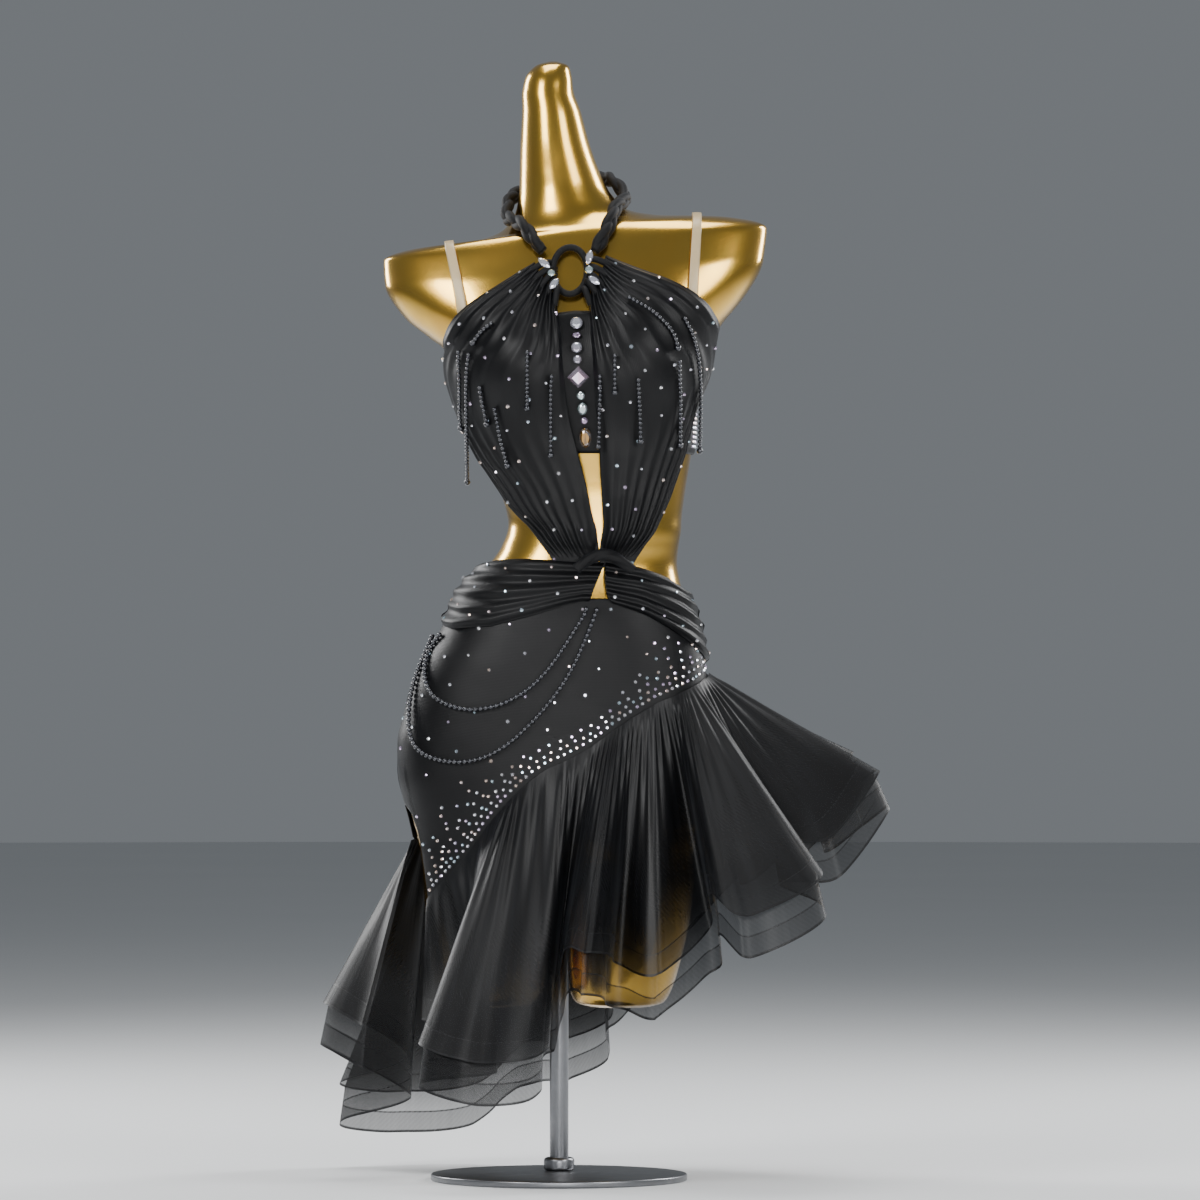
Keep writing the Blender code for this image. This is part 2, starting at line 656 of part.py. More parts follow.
def build_bra(parts):
    """The band under the drape, which runs right round the body."""
    angle = np.array(BRA_COLUMNS, float)
    top = np.interp(np.minimum(np.abs(angle), 360 - angle), BRA_ANGLE, BRA_TOP)
    down = np.linspace(0, 1, BRA_ROWS)[:, None]
    level = top * (1 - down) + BRA_BOTTOM * down
    grid = lifted(level, np.broadcast_to(angle, level.shape), BRA_LIFT)
    return cloth("bra_band", grid, CLOTH_WALL, JERSEY, parts, closed=True)


def build_halter(parts):
    """The braided cord round the neck, and the ring that it and the panels meet at."""
    left, right = (
        lifted(*place_in_front(*np.array(route, float).T), BRAID_LIFT) for route in (BRAID_LEFT, BRAID_RIGHT)
    )
    back = np.array([lifted(z, angle, BRAID_LIFT) for angle, z in BRAID_BACK_Z])
    tube("halter_braid", smooth_path([*left, *back, *right], 18), BRAID_RADIUS, JERSEY, parts)

    centre, out, up, side = frame_on_body(RING_X, RING_Z, RING_LIFT)
    turn = Matrix(np.stack([side, up, out], axis=-1).tolist()).to_4x4()
    bpy.ops.mesh.primitive_torus_add(
        major_segments=22,
        minor_segments=7,
        major_radius=RING_RADIUS * MM,
        minor_radius=RING_TUBE * MM,
    )
    ring = bpy.context.object
    ring.name = "halter_ring"
    ring.data.transform(Matrix.Diagonal((RING_HALF_WIDTH / RING_RADIUS, RING_HALF_HEIGHT / RING_RADIUS, 1, 1)))
    ring.matrix_world = Matrix.Translation(Vector(centre * MM)) @ turn
    ring.data.materials.append(material(ring.name, JERSEY))
    ring.data.shade_smooth()
    move_to(ring, parts)


def frame_on_body(x, z, lift):
    """A point over the body in the front view, with the directions out, up and to the side."""
    level, angle = place_in_front(x, z)
    out = normal_at(level, angle)
    up = np.array([0.0, 0.0, 1.0]) - out * out[2]
    up /= np.linalg.norm(up)
    return lifted(level, angle, lift), out, up, np.cross(up, out)


def build_straps(parts):
    """Clear straps, from the bra's front edge over the shoulder to its back edge."""
    for name, front_x, top_x, back_x in STRAPS:
        paths = []
        for across in (-0.5, 0.5):
            top_z = highest_at(top_x + across * STRAP_WIDTH)
            strand = []
            for start_x, sign in ((front_x, 1), (back_x, -1)):
                ease = np.sin(np.linspace(0, math.pi / 2, 14))
                x = start_x + (top_x - start_x) * ease + across * STRAP_WIDTH
                bottom = strap_foot(x[0], sign)
                level = bottom + (top_z - bottom) * ease
                angle = angle_at(x, level)
                strand.append((level, angle if sign > 0 else 180 - angle))
            level = np.concatenate([strand[0][0], strand[1][0][-2::-1]])
            angle = np.concatenate([strand[0][1], strand[1][1][-2::-1]])
            paths.append(lifted(level, angle, STRAP_LIFT))
        grid = np.stack(paths, axis=0)
        cloth(name, grid, STRAP_WALL, CLEAR_STRAP, parts)


def angle_at(x, level):
    """The front angle at which the section at that level passes x."""
    centre_x, _, half_width, _, _, _ = section_at(level)
    share = np.clip((x - centre_x) / half_width, -1, 1)
    return np.degrees(np.arcsin(np.sign(share) * np.abs(share) ** (1 / np.interp(level, *BOXINESS))))


def highest_at(x):
    """The level at which the shoulder line closes over x."""
    levels = np.linspace(1124, 1060, 400)
    centre_x, _, half_width, _, _, _ = section_at(levels)
    return levels[np.argmax(half_width >= abs(x - centre_x))]


def strap_foot(x, sign):
    """The level just above the bra's upper edge, below x, at the front or at the back."""
    level = 960.0 if sign > 0 else 905.0
    for _ in range(12):
        angle = abs(float(angle_at(x, level)))
        angle = angle if sign > 0 else 180 - angle
        level = float(np.interp(angle, BRA_ANGLE, BRA_TOP)) + 2.5
    return level


def build_fringe(parts):
    """Short strings of beads sewn to the bodice by their upper ends."""
    for number, route in enumerate(FRINGES, start=1):
        level, angle = place_in_front(*np.array(route, float).T)
        path = front_points(route, drape_lift(level, angle) + FRINGE_LIFT)
        tube(f"fringe_{number:02d}", smooth_path(path, 16), FRINGE_RADIUS, BEADS, parts)


# ---------------------------------------------------------------- the waist and the skirt


def build_sash(parts):
    """The gathered hip sash, folded along its length."""
    down = np.linspace(0, 1, SASH_ROWS)[:, None]
    for name, start, end, columns in SASH_PIECES:
        angle = np.linspace(start + SEAM_GAP_DEG, end - SEAM_GAP_DEG, columns + 1)
        top = np.interp(angle, SASH_ANGLE, SASH_TOP)
        bottom = np.interp(angle, SASH_ANGLE, SASH_BOTTOM)
        level = top * (1 - down) + bottom * down
        fold = -SASH_FOLD * np.cos(2 * math.pi * SASH_FOLDS * down)
        lift = np.broadcast_to(SASH_LIFT + fold, level.shape)
        grid = lifted(level, np.broadcast_to(angle, level.shape), lift)
        cloth(name, grid, SASH_WALL, JERSEY, parts)
    tube("waist_twist", smooth_path(front_points(TWIST, TWIST_LIFT), 8), TWIST_RADIUS, JERSEY, parts)


def build_yoke(parts):
    """The tight skirt yoke, front and back, down to the diagonal seam."""
    back_angle = np.linspace(90, 270, 17)
    pieces = (
        ("yoke_front", np.array(FRONT_SEAM_ANGLE, float), np.array(FRONT_SEAM_Z, float)),
        ("yoke_back", back_angle, np.interp(back_angle, BACK_SEAM_ANGLE, BACK_SEAM_Z)),
    )
    down = np.linspace(0, 1, YOKE_ROWS)[:, None]
    for name, angle, bottom in pieces:
        angle = angle.copy()
        angle[0] += SEAM_GAP_DEG
        angle[-1] -= SEAM_GAP_DEG
        level = YOKE_TOP * (1 - down) + bottom * down
        grid = lifted(level, np.broadcast_to(angle, level.shape), YOKE_LIFT)
        cloth(name, grid, CLOTH_WALL, JERSEY, parts)


def flounce_points(steps, t):
    """Points of the flounce at steps folds along and t of the way from the seam to the upper hem.

    Past the upper hem, t carries on to 2 at the hem of the under ply, which bends down more.
    """
    table = np.array([fold[1:] for fold in FOLDS], float)
    angle = np.interp(steps, np.arange(len(table)), table[:, 0])
    level = np.interp(angle, FRONT_SEAM_ANGLE + BACK_SEAM_ANGLE[1:], FRONT_SEAM_Z + BACK_SEAM_Z[1:]) - 3.0
    seam = lifted(level, angle, FLOUNCE_LIFT)
    drop = catmull(table[:, 1:], steps) - seam
    length = np.linalg.norm(drop, axis=-1, keepdims=True)
    down = np.array([0.0, 0.0, -1.0])
    above, below = np.clip(t, 0, 1)[..., None], np.clip(t - 1, 0, 1)[..., None]
    longer = UNDER_LENGTH * below * (drop / length * (1 - UNDER_DOWN_SHARE) + down * UNDER_DOWN_SHARE)
    return seam + drop * above + longer, normal_at(level, angle)


def flounce_ply(steps, rows, gap_seam, gap_hem):
    """A grid of one ply, moved inwards by a gap that grows from the seam to the hem."""
    t, steps = np.meshgrid(rows, steps, indexing="ij")
    points, body_normal = flounce_points(steps, t)
    last = len(FOLDS) - 1
    before, after = np.clip(steps - NUDGE, 0, last), np.clip(steps + NUDGE, 0, last)
    across = flounce_points(after, t)[0] - flounce_points(before, t)[0]
    upwards = flounce_points(steps, t - NUDGE)[0] - flounce_points(steps, t + NUDGE)[0]
    normal = np.cross(across, upwards)
    normal /= np.linalg.norm(normal, axis=-1, keepdims=True)
    blend = np.clip(t / SEAM_BLEND, 0, 1)[..., None]
    normal = body_normal * (1 - blend) + normal * blend
    normal /= np.linalg.norm(normal, axis=-1, keepdims=True)
    return points - normal * (gap_seam + (gap_hem - gap_seam) * np.clip(t, 0, 1)[..., None])


def catmull(values, steps):
    """A Catmull-Rom curve through the rows of values, read at these steps along it."""
    ends = np.concatenate([[2 * values[0] - values[1]], values, [2 * values[-1] - values[-2]]])
    first = np.clip(steps.astype(int), 0, len(values) - 2)
    t = (steps - first)[..., None]
    a, b, c, d = (ends[first + k] for k in range(4))
    return 0.5 * (2 * b + (c - a) * t + (2 * a - 5 * b + 4 * c - d) * t**2 + (3 * b - a - 3 * c + d) * t**3)


def build_flounces(parts):
    """Two plies of fluted organza in front and two behind, the under ply inside and longer."""
    last = len(FOLDS) - 1
    for name, start, end in (
        ("flounce_front", 0, SIDE_SEAM - PLY_SEAM_STEPS),
        ("flounce_back", SIDE_SEAM + PLY_SEAM_STEPS, last),
    ):
        steps = np.linspace(start, end, round(end - start) * STEPS_PER_FOLD + 1)
        cloth(name + "_upper", flounce_ply(steps, UPPER_ROWS, 0.0, 0.0), ORGANZA_WALL, ORGANZA, parts)
        under = flounce_ply(steps, UPPER_ROWS + (2.0,), PLY_GAP_SEAM, PLY_GAP_HEM)
        cloth(name + "_under", under, ORGANZA_WALL, ORGANZA, parts)


def build_swags(parts):
    """Two strings of beads that hang across the left hip."""
    for name, route in SWAGS:
        path = front_points(route, SWAG_LIFT)
        tube(name, smooth_path(path, 16), SWAG_RADIUS, BEADS, parts)


# ---------------------------------------------------------------- stones


def stone_outline(cut, width, height):
    """The outline of a cut stone about its middle, anticlockwise."""
    if cut == "square":
        turns = np.radians([45, 135, 225, 315])
        return np.stack([np.cos(turns) * width, np.sin(turns) * height], axis=-1) / math.sqrt(2) / math.sqrt(2)
    turns = np.linspace(0, 2 * math.pi, STONE_SIDES, endpoint=False)
    across, upright = np.cos(turns), np.sin(turns)
    if cut == "marquise":
        across = across * np.abs(across) ** 0.6
    return np.stack([across * width, upright * height], axis=-1) / 2


def build_stones(parts):
    """The large set stones: flat back, low girdle and a smaller table."""
    settings = [(stone, BRA_STONE_LIFT) for stone in BRA_STONES]
    settings += [(stone, RING_STONE_LIFT) for stone in RING_STONES]
    for stone, lift in settings:
        centre, out, up, side = frame_on_body(stone.x, stone.z, lift)
        outline = stone_outline(stone.cut, stone.width, stone.height)
        turn = math.radians(stone.turn)
        spin = np.array([[math.cos(turn), -math.sin(turn)], [math.sin(turn), math.cos(turn)]])
        outline = outline @ spin.T
        depth = STONE_DEPTH_SHARE * min(stone.width, stone.height)
        rings = [
            [centre + side * a * size + up * b * size + out * depth * level for a, b in outline]
            for size, level in ((STONE_TABLE_SHARE, 1.0), (1.0, 0.4), (1.0, 0.0))
        ]
        capped_loft(stone.name, rings, (stone.colour, 0.05, 0.0), parts)


def main():
    clear_scene()
    parts = new_collection(NAME)
    cutters = new_collection("cutters")
    build_form(parts, cutters)
    build_stand(parts)
    build_halter(parts)
    build_panel("bodice_panel_left", LEFT_PANEL, parts)
    build_panel("bodice_panel_right", RIGHT_PANEL, parts)
    build_bra(parts)
    build_straps(parts)
    build_fringe(parts)
    build_sash(parts)
    build_yoke(parts)
    build_flounces(parts)
    build_swags(parts)
    build_stones(parts)
    for item in (*parts.objects, *cutters.objects):
        item.location -= Vector((BASE_X, BASE_Y, 0.0)) * MM


main()
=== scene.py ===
"""The looks of a salsa dance dress on a display form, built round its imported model.

Shapes are worked out in millimetres and degrees on one body surface, and become metres when
a mesh is made. The front of the dress faces -Y. "Left" and "right" are the viewer's.
An angle round the body is 0 at the front, 90 at the right side and 180 at the back.
"""

import json
import logging
import math
from dataclasses import dataclass, field
from enum import Enum
from typing import Any, NamedTuple, Sequence

import bmesh
import bpy
import numpy as np
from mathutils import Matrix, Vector

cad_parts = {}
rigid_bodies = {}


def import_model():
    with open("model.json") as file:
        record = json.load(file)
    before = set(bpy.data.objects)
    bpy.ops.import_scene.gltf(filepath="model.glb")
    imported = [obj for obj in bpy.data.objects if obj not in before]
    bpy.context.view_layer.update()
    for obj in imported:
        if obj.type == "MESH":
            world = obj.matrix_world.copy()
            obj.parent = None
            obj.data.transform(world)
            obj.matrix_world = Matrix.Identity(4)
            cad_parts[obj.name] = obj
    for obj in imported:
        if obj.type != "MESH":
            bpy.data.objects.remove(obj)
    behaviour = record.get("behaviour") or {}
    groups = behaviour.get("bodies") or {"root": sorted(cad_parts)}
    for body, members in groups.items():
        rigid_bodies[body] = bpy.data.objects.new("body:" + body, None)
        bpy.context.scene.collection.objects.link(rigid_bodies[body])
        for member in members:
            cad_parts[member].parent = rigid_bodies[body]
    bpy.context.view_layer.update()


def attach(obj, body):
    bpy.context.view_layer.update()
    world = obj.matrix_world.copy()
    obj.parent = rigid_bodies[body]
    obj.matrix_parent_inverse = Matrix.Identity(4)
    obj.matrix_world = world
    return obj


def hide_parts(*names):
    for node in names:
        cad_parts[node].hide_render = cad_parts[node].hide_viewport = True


Array = np.ndarray
LOG = logging.getLogger("dance_dress")
MM = 0.001
ORIGIN = np.array([-48.0, 12.0, 0.0])  # the middle of the base plate, in the tables' own millimetres
CLOTH_UV = "cloth"


# ---------------------------------------------------------------- the body that the cloth lies on


class Section(NamedTuple):
    """One level of the body: its centre, half width, depth in front and behind, and tilt."""

    z: float
    centre_x: float
    centre_y: float
    half_width: float
    front: float
    back: float
    tilt: float


SECTIONS = (
    Section(1308, -55, 8, 6, 6, 6, 0.00),
    Section(1304, -56, 8, 18, 19, 19, 0.00),
    Section(1290, -60, 8, 27, 30, 30, 0.00),
    Section(1273, -61, 8, 30, 35, 36, 0.00),
    Section(1251, -57, 9, 34, 40, 41, 0.00),
    Section(1212, -53, 11, 40, 46, 47, 0.05),
    Section(1179, -48, 13, 46, 50, 51, 0.09),
    Section(1157, -44, 14, 51, 53, 54, 0.12),
    Section(1139, -41, 14, 59, 56, 57, 0.15),
    Section(1124, -40, 13, 72, 60, 60, 0.16),
    Section(1114, -36, 11, 105, 64, 63, 0.14),
    Section(1107, -33, 9, 188, 68, 67, 0.10),
    Section(1094, -29, 7, 224, 73, 72, 0.085),
    Section(1060, -30, 3, 221, 82, 80, 0.07),
    Section(1020, -30, 0, 198, 91, 86, 0.06),
    Section(994, -28, 0, 172, 95, 88, 0.05),
    Section(972, -27, 0, 153, 97, 88, 0.02),
    Section(940, -26, 0, 143, 97, 87, 0.00),
    Section(912, -24, 0, 134, 95, 85, 0.00),
    Section(854, -14, -2, 121, 88, 79, 0.00),
    Section(803, -8, -4, 107, 80, 70, 0.00),
    Section(767, -6, -5, 101, 77, 68, 0.00),
    Section(743, -11, -4, 103, 78, 71, 0.00),
    Section(722, -19, -2, 109, 80, 77, 0.00),
    Section(697, -28, 0, 122, 84, 87, 0.00),
    Section(679, -32, 1, 131, 87, 94, 0.00),
    Section(656, -34, 2, 141, 91, 102, 0.00),
    Section(632, -37, 3, 151, 94, 109, 0.00),
    Section(604, -43, 4, 161, 97, 115, 0.00),
    Section(572, -48, 5, 170, 99, 119, 0.00),
    Section(542, -51, 5, 175, 100, 120, 0.00),
    Section(512, -54, 5, 178, 100, 118, 0.00),
    Section(478, -55, 4, 177, 99, 113, 0.00),
    Section(448, -53, 3, 173, 97, 107, 0.00),
    Section(422, -51, 2, 168, 95, 101, 0.00),
    Section(392, -49, 1, 164, 92, 96, 0.00),
    Section(344, -49, 0, 159, 90, 92, 0.00),
    Section(311, -49, 0, 157, 87, 89, 0.00),
    Section(256, -52, 0, 149, 83, 85, 0.00),
    Section(205, -54, 0, 136, 75, 77, 0.00),
)
BOXINESS = ((1060, 1120), (0.84, 1.0))
BUST_APEX_Z, BUST_HALF_SPAN, BUST_DEPTH = 952.0, 68.0, 36.0
BUST_WIDTH, BUST_HEIGHT = 42.0, 44.0
DRAPE_Z = (700, 724, 738, 760, 800, 850, 900, 960, 1080)
DRAPE_LIFT = (3.6, 3.6, 6.0, 13.0, 19.0, 19.0, 13.0, 9.5, 10.0)
DRAPE_RIGHT_SHARE = 0.35
DRAPE_STEPS, DRAPE_SHARE = 8, 0.7  # steps for placing the drape's edges, and the share each corrects
DRAPE_BLEND = 19  # rows over which an edge is evened out


def limited_slopes(values: Array) -> Array:
    """Finds slopes for a curve through evenly stepped values that never overshoots them.

    Args:
        values: One row for each step.

    Returns:
        The slope at each row, for a step of one.
    """
    steps = np.diff(values, axis=0)
    before = np.concatenate([steps[:1], steps])
    after = np.concatenate([steps, steps[-1:]])
    same = before * after > 0
    total = np.where(same, before + after, 1.0)
    return np.where(same, 2 * before * after / total, 0.0)


def smooth_rows(rows: Sequence[Sequence[float]], per_step: int) -> Array:
    """Fills in rows between the given ones, with no overshoot.

    Args:
        rows: The rows of a table of numbers.
        per_step: How many steps to make of each one.

    Returns:
        The finer table.
    """
    table = np.array(rows, float)
    slopes = limited_slopes(table)
    found = []
    for i in range(len(table) - 1):
        for t in np.arange(per_step) / per_step:
            rise = 3 * t**2 - 2 * t**3
            found.append(
                table[i] * (1 - rise)
                + table[i + 1] * rise
                + slopes[i] * (t**3 - 2 * t**2 + t)
                + slopes[i + 1] * (t**3 - t**2)
            )
    return np.array(found + [table[-1]])


def catmull(values: Array, steps: Array) -> Array:
    """Reads a Catmull-Rom curve through rows of values.

    Args:
        values: The rows that the curve passes through.
        steps: Where to read it, counted in rows.

    Returns:
        The value at each step.
    """
    ends = np.concatenate([[2 * values[0] - values[1]], values, [2 * values[-1] - values[-2]]])
    first = np.clip(steps.astype(int), 0, len(values) - 2)
    t = (steps - first)[..., None]
    a, b, c, d = (ends[first + k] for k in range(4))
    return 0.5 * (2 * b + (c - a) * t + (2 * a - 5 * b + 4 * c - d) * t**2 + (3 * b - a - 3 * c + d) * t**3)


def ease(value: Array) -> Array:
    """Turns a share that runs from 0 to 1 into one that starts and ends slowly."""
    share = np.clip(value, 0, 1)
    return share * share * (3 - 2 * share)


@dataclass
class BodyShape:
    """The bare body as a surface read by height and angle, all in millimetres and degrees."""

    per_step: int = 24
    table: Array = field(init=False)

    def __post_init__(self) -> None:
        """Fills in the levels between the sections."""
        self.table = smooth_rows(SECTIONS, self.per_step)[::-1]

    def section(self, z: Array) -> list[Array]:
        """Gives centre_x, centre_y, half_width, front, back and tilt at height z."""
        return [np.interp(z, self.table[:, 0], self.table[:, k]) for k in range(1, 7)]

    def bust(self, off_centre: Array, z: Array) -> Array:
        """Gives how far the bust stands forward, this far to the side of the centre."""
        swell = 0
        for side in (-1, 1):
            across = (off_centre - side * BUST_HALF_SPAN) / BUST_WIDTH
            upright = (z - BUST_APEX_Z) / BUST_HEIGHT
            swell = swell + BUST_DEPTH * np.exp(-(across**2 + upright**2) / 2)
        return swell

    def surface(self, z: Array, angle: Array) -> Array:
        """Gives the points of the bare body at these heights and angles.

        Args:
            z: Levels, before the tilt of each section.
            angle: Angles round the body.

        Returns:
            The points.
        """
        centre_x, centre_y, half_width, front, back, tilt = self.section(z)
        turn = np.radians(angle)
        power = np.interp(z, *BOXINESS)
        across, ahead = (np.sign(part) * np.abs(part) ** power for part in (np.sin(turn), np.cos(turn)))
        x = centre_x + half_width * across
        y = centre_y - np.where(ahead > 0, front, back) * ahead
        y = y - self.bust(x - centre_x, z) * np.clip(2.5 * ahead, 0, 1)
        return np.stack([x, y, z + tilt * (x - centre_x)], axis=-1)

    def normal(self, z: Array, angle: Array) -> Array:
        """Gives the unit normal of the body, pointing out."""
        along = self.surface(z, angle + 0.5) - self.surface(z, angle - 0.5)
        up = self.surface(z + 0.5, angle) - self.surface(z - 0.5, angle)
        normal = np.cross(along, up)
        return normal / np.linalg.norm(normal, axis=-1, keepdims=True)

    def lifted(self, z: Any, angle: Any, lift: Any) -> Array:
        """Gives points that far off the body."""
        z, angle, lift = np.broadcast_arrays(
            np.asarray(z, float), np.asarray(angle, float), np.asarray(lift, float)
        )
        return self.surface(z, angle) + self.normal(z, angle) * lift[..., None]

    def angle_at(self, x: Array, level: Array) -> Array:
        """Gives the front angle at which the section at that level passes x."""
        centre_x, _, half_width, _, _, _ = self.section(level)
        share = np.clip((x - centre_x) / half_width, -1, 1)
        power = np.interp(level, *BOXINESS)
        return np.degrees(np.arcsin(np.sign(share) * np.abs(share) ** (1 / power)))

    def place(self, x: Any, z: Any) -> tuple[Array, Array]:
        """Finds the point of the front that is seen at x and z.

        Args:
            x: Position across, seen from the front.
            z: Height, seen from the front.

        Returns:
            Its level and its angle round the body.
        """
        x, z = np.asarray(x, float), np.asarray(z, float)
        level = z
        for _ in range(30):
            centre_x, _, half_width, _, _, tilt = self.section(level)
            level = z - tilt * np.clip(x - centre_x, -half_width, half_width)
        return level, np.clip(self.angle_at(x, level), -88, 88)

    def over(self, route: Sequence[Sequence[float]], lift: Any) -> Array:
        """Lays a route of (x, z) pairs over the front, hanging free past the side of the body.

        Args:
            route: The route in the front view.
            lift: How far off the body it lies.

        Returns:
            Its points.
        """
        x, z = np.array(route, float).T
        level, _ = self.place(x, z)
        centre_x, centre_y, half_width, front, _, _ = self.section(level)
        share = np.clip(np.abs(x - centre_x) / (half_width + lift), 0, 1)
        power = np.interp(level, *BOXINESS)
        ahead = np.sqrt(1 - share ** (2 / power)) ** power
        swell = self.bust(x - centre_x, level) * np.clip(2.5 * ahead, 0, 1)
        return np.stack([x, centre_y - (front + lift) * ahead - swell, z], axis=-1)

    def drape_lift(self, z: Array, angle: Array) -> Array:
        """Gives how far the bodice drape stands off the form: it bridges from bust to waist."""
        lift = np.interp(z, DRAPE_Z, DRAPE_LIFT)
        nearest = np.interp(z, DRAPE_Z, np.minimum(DRAPE_LIFT, 9.0))
        share = 1 - (1 - DRAPE_RIGHT_SHARE) * np.clip((angle - 10) / 50, 0, 1)
        return nearest + (lift - nearest) * share

    def under_drape(self, x: Array, z: Array) -> tuple[Array, Array]:
        """Finds the point of the body from which the lifted drape is seen at x and z.

        Args:
            x: Position across of the drape's edge, seen from the front.
            z: Its height.

        Returns:
            The level and the angle on the body.
        """
        at_x, at_z = x, z
        for _ in range(DRAPE_STEPS):
            level, angle = self.place(at_x, at_z)
            seen = self.lifted(level, angle, self.drape_lift(level, angle))
            at_x = at_x + DRAPE_SHARE * (x - seen[:, 0])
            at_z = at_z + DRAPE_SHARE * (z - seen[:, 2])
        reach = DRAPE_BLEND // 2
        kernel = np.full(DRAPE_BLEND, 1 / DRAPE_BLEND)
        level, angle = (
            np.convolve(np.pad(values, reach, "reflect", reflect_type="odd"), kernel, "valid")
            for values in self.place(at_x, at_z)
        )
        return level, angle

    def frame(self, x: float, z: float, lift: float) -> tuple[Array, Array, Array, Array]:
        """Gives a point over the front at x and z, and the directions out, up and to the side."""
        level, angle = self.place(x, z)
        out = self.normal(level, angle)
        up = np.array([0.0, 0.0, 1.0]) - out * out[2]
        up /= np.linalg.norm(up)
        return self.lifted(level, angle, lift), out, up, np.cross(up, out)


# ---------------------------------------------------------------- helpers


def linear(hex_colour: str) -> tuple[float, float, float, float]:
    """Turns an sRGB hex colour such as "#C9962C" into linear red, green, blue and alpha."""
    parts = [int(hex_colour[k : k + 2], 16) / 255 for k in (1, 3, 5)]
    red, green, blue = (p / 12.92 if p <= 0.04045 else ((p + 0.055) / 1.055) ** 2.4 for p in parts)
    return red, green, blue, 1.0


def metres(points: Array) -> Array:
    """Turns the tables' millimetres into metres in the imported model's own frame."""
    return (np.asarray(points, float) - ORIGIN) * MM


def wave_scale(period_mm: float) -> float:
    """Gives the Wave Texture's scale for stripes that far apart on coordinates in metres."""
    return 2 * math.pi / (20 * period_mm * MM)


def feed(tree: bpy.types.NodeTree, node: bpy.types.Node, inputs: dict[Any, Any]) -> None:
    """Gives each of a node's sockets a value, or a link from the output socket that feeds it.

    Args:
        tree: The tree that the node is in.
        node: The node.
        inputs: Socket name or number to a value or an output socket.
    """
    for socket, value in inputs.items():
        if isinstance(value, bpy.types.NodeSocket):
            tree.links.new(value, node.inputs[socket])
        else:
            node.inputs[socket].default_value = value


def add_node(
    tree: bpy.types.NodeTree,
    kind: str,
    inputs: dict[Any, Any] | None = None,
    stops: Sequence[tuple[float, float]] = (),
    **settings: Any,
) -> bpy.types.Node:
    """Adds a node with its settings and its links.

    Args:
        tree: The shader or geometry tree.
        kind: The node's type name.
        inputs: Socket name or number to a value, or to the output socket that feeds it.
        stops: Position and grey value of each stop, where the node has a ramp.
        **settings: Properties of the node, set before its sockets.

    Returns:
        The new node.
    """
    made = tree.nodes.new(kind)
    for key, value in settings.items():
        setattr(made, key, value)
    feed(tree, made, inputs or {})
    for number, (position, grey) in enumerate(stops):
        elements = made.color_ramp.elements
        stop = elements[number] if number < 2 else elements.new(position)
        stop.position, stop.color = position, (grey, grey, grey, 1.0)
    return made


def noise(tree: bpy.types.NodeTree, vector: Any, scale: float, detail: float) -> bpy.types.NodeSocket:
    """Adds a noise texture and gives its value."""
    inputs = {"Vector": vector, "Scale": scale, "Detail": detail}
    return add_node(tree, "ShaderNodeTexNoise", inputs).outputs["Fac"]


def mixed(tree: bpy.types.NodeTree, share: Any, first: Any, second: Any) -> bpy.types.NodeSocket:
    """Mixes two colours by a share and gives the result."""
    inputs = {0: share, 6: first, 7: second}
    return add_node(tree, "ShaderNodeMix", inputs, data_type="RGBA").outputs[2]


def spread(tree: bpy.types.NodeTree, value: Any, low: float, high: float) -> bpy.types.NodeSocket:
    """Spreads a value from 0 to 1 between two others and gives the result."""
    inputs = {"Value": value, "To Min": low, "To Max": high}
    return add_node(tree, "ShaderNodeMapRange", inputs).outputs[0]


def product(tree: bpy.types.NodeTree, first: Any, second: Any, clamp: bool = False) -> bpy.types.NodeSocket:
    """Multiplies two values and gives the result, held between 0 and 1 where asked."""
    inputs = {0: first, 1: second}
    made = add_node(tree, "ShaderNodeMath", inputs, operation="MULTIPLY", use_clamp=clamp)
    return made.outputs[0]


def bumped(tree: bpy.types.NodeTree, height: Any, strength: float, depth: float) -> bpy.types.NodeSocket:
    """Turns a height into a bumped normal, its depth in metres."""
    inputs = {"Strength": strength, "Distance": depth, "Height": height}
    return add_node(tree, "ShaderNodeBump", inputs).outputs[0]


def new_finish(name: str) -> tuple[bpy.types.Material, bpy.types.NodeTree, bpy.types.Node]:
    """Makes a material and gives it with its tree and its Principled shader."""
    material = bpy.data.materials.new(name)
    material.use_nodes = True
    return material, material.node_tree, material.node_tree.nodes["Principled BSDF"]


def add_object(name: str, mesh: bpy.types.Mesh, material: bpy.types.Material) -> bpy.types.Object:
    """Puts a mesh in the scene as an object with one material."""
    mesh.materials.clear()
    mesh.materials.append(material)
    made = bpy.data.objects.new(name, mesh)
    bpy.context.scene.collection.objects.link(made)
    return made


def mesh_from(
    name: str, points: Array, faces: Sequence[Sequence[int]], smooth: bool = True
) -> bpy.types.Mesh:
    """Makes a mesh from points in the tables' millimetres, smooth or faceted."""
    mesh = bpy.data.meshes.new(name)
    mesh.from_pydata(metres(points).tolist(), [], faces)
    mesh.polygons.foreach_set("use_smooth", [smooth] * len(mesh.polygons))
    return mesh


def grid_faces(rows: int, columns: int, closed: bool = False) -> list[tuple[int, int, int, int]]:
    """Lists the quads of a grid whose rows go down and whose columns go round, facing out."""
    faces = []
    for i in range(rows - 1):
        for j in range(columns if closed else columns - 1):
            k = (j + 1) % columns
            faces.append((i * columns + j, (i + 1) * columns + j, (i + 1) * columns + k, i * columns + k))
    return faces


def run_lengths(grid: Array, axis: int) -> Array:
    """Gives how far along the grid each point lies, in metres, summed step by step."""
    steps = np.linalg.norm(np.diff(grid, axis=axis), axis=-1) * MM
    start = np.zeros_like(np.take(steps, [0], axis=axis))
    return np.concatenate([start, np.cumsum(steps, axis=axis)], axis=axis)


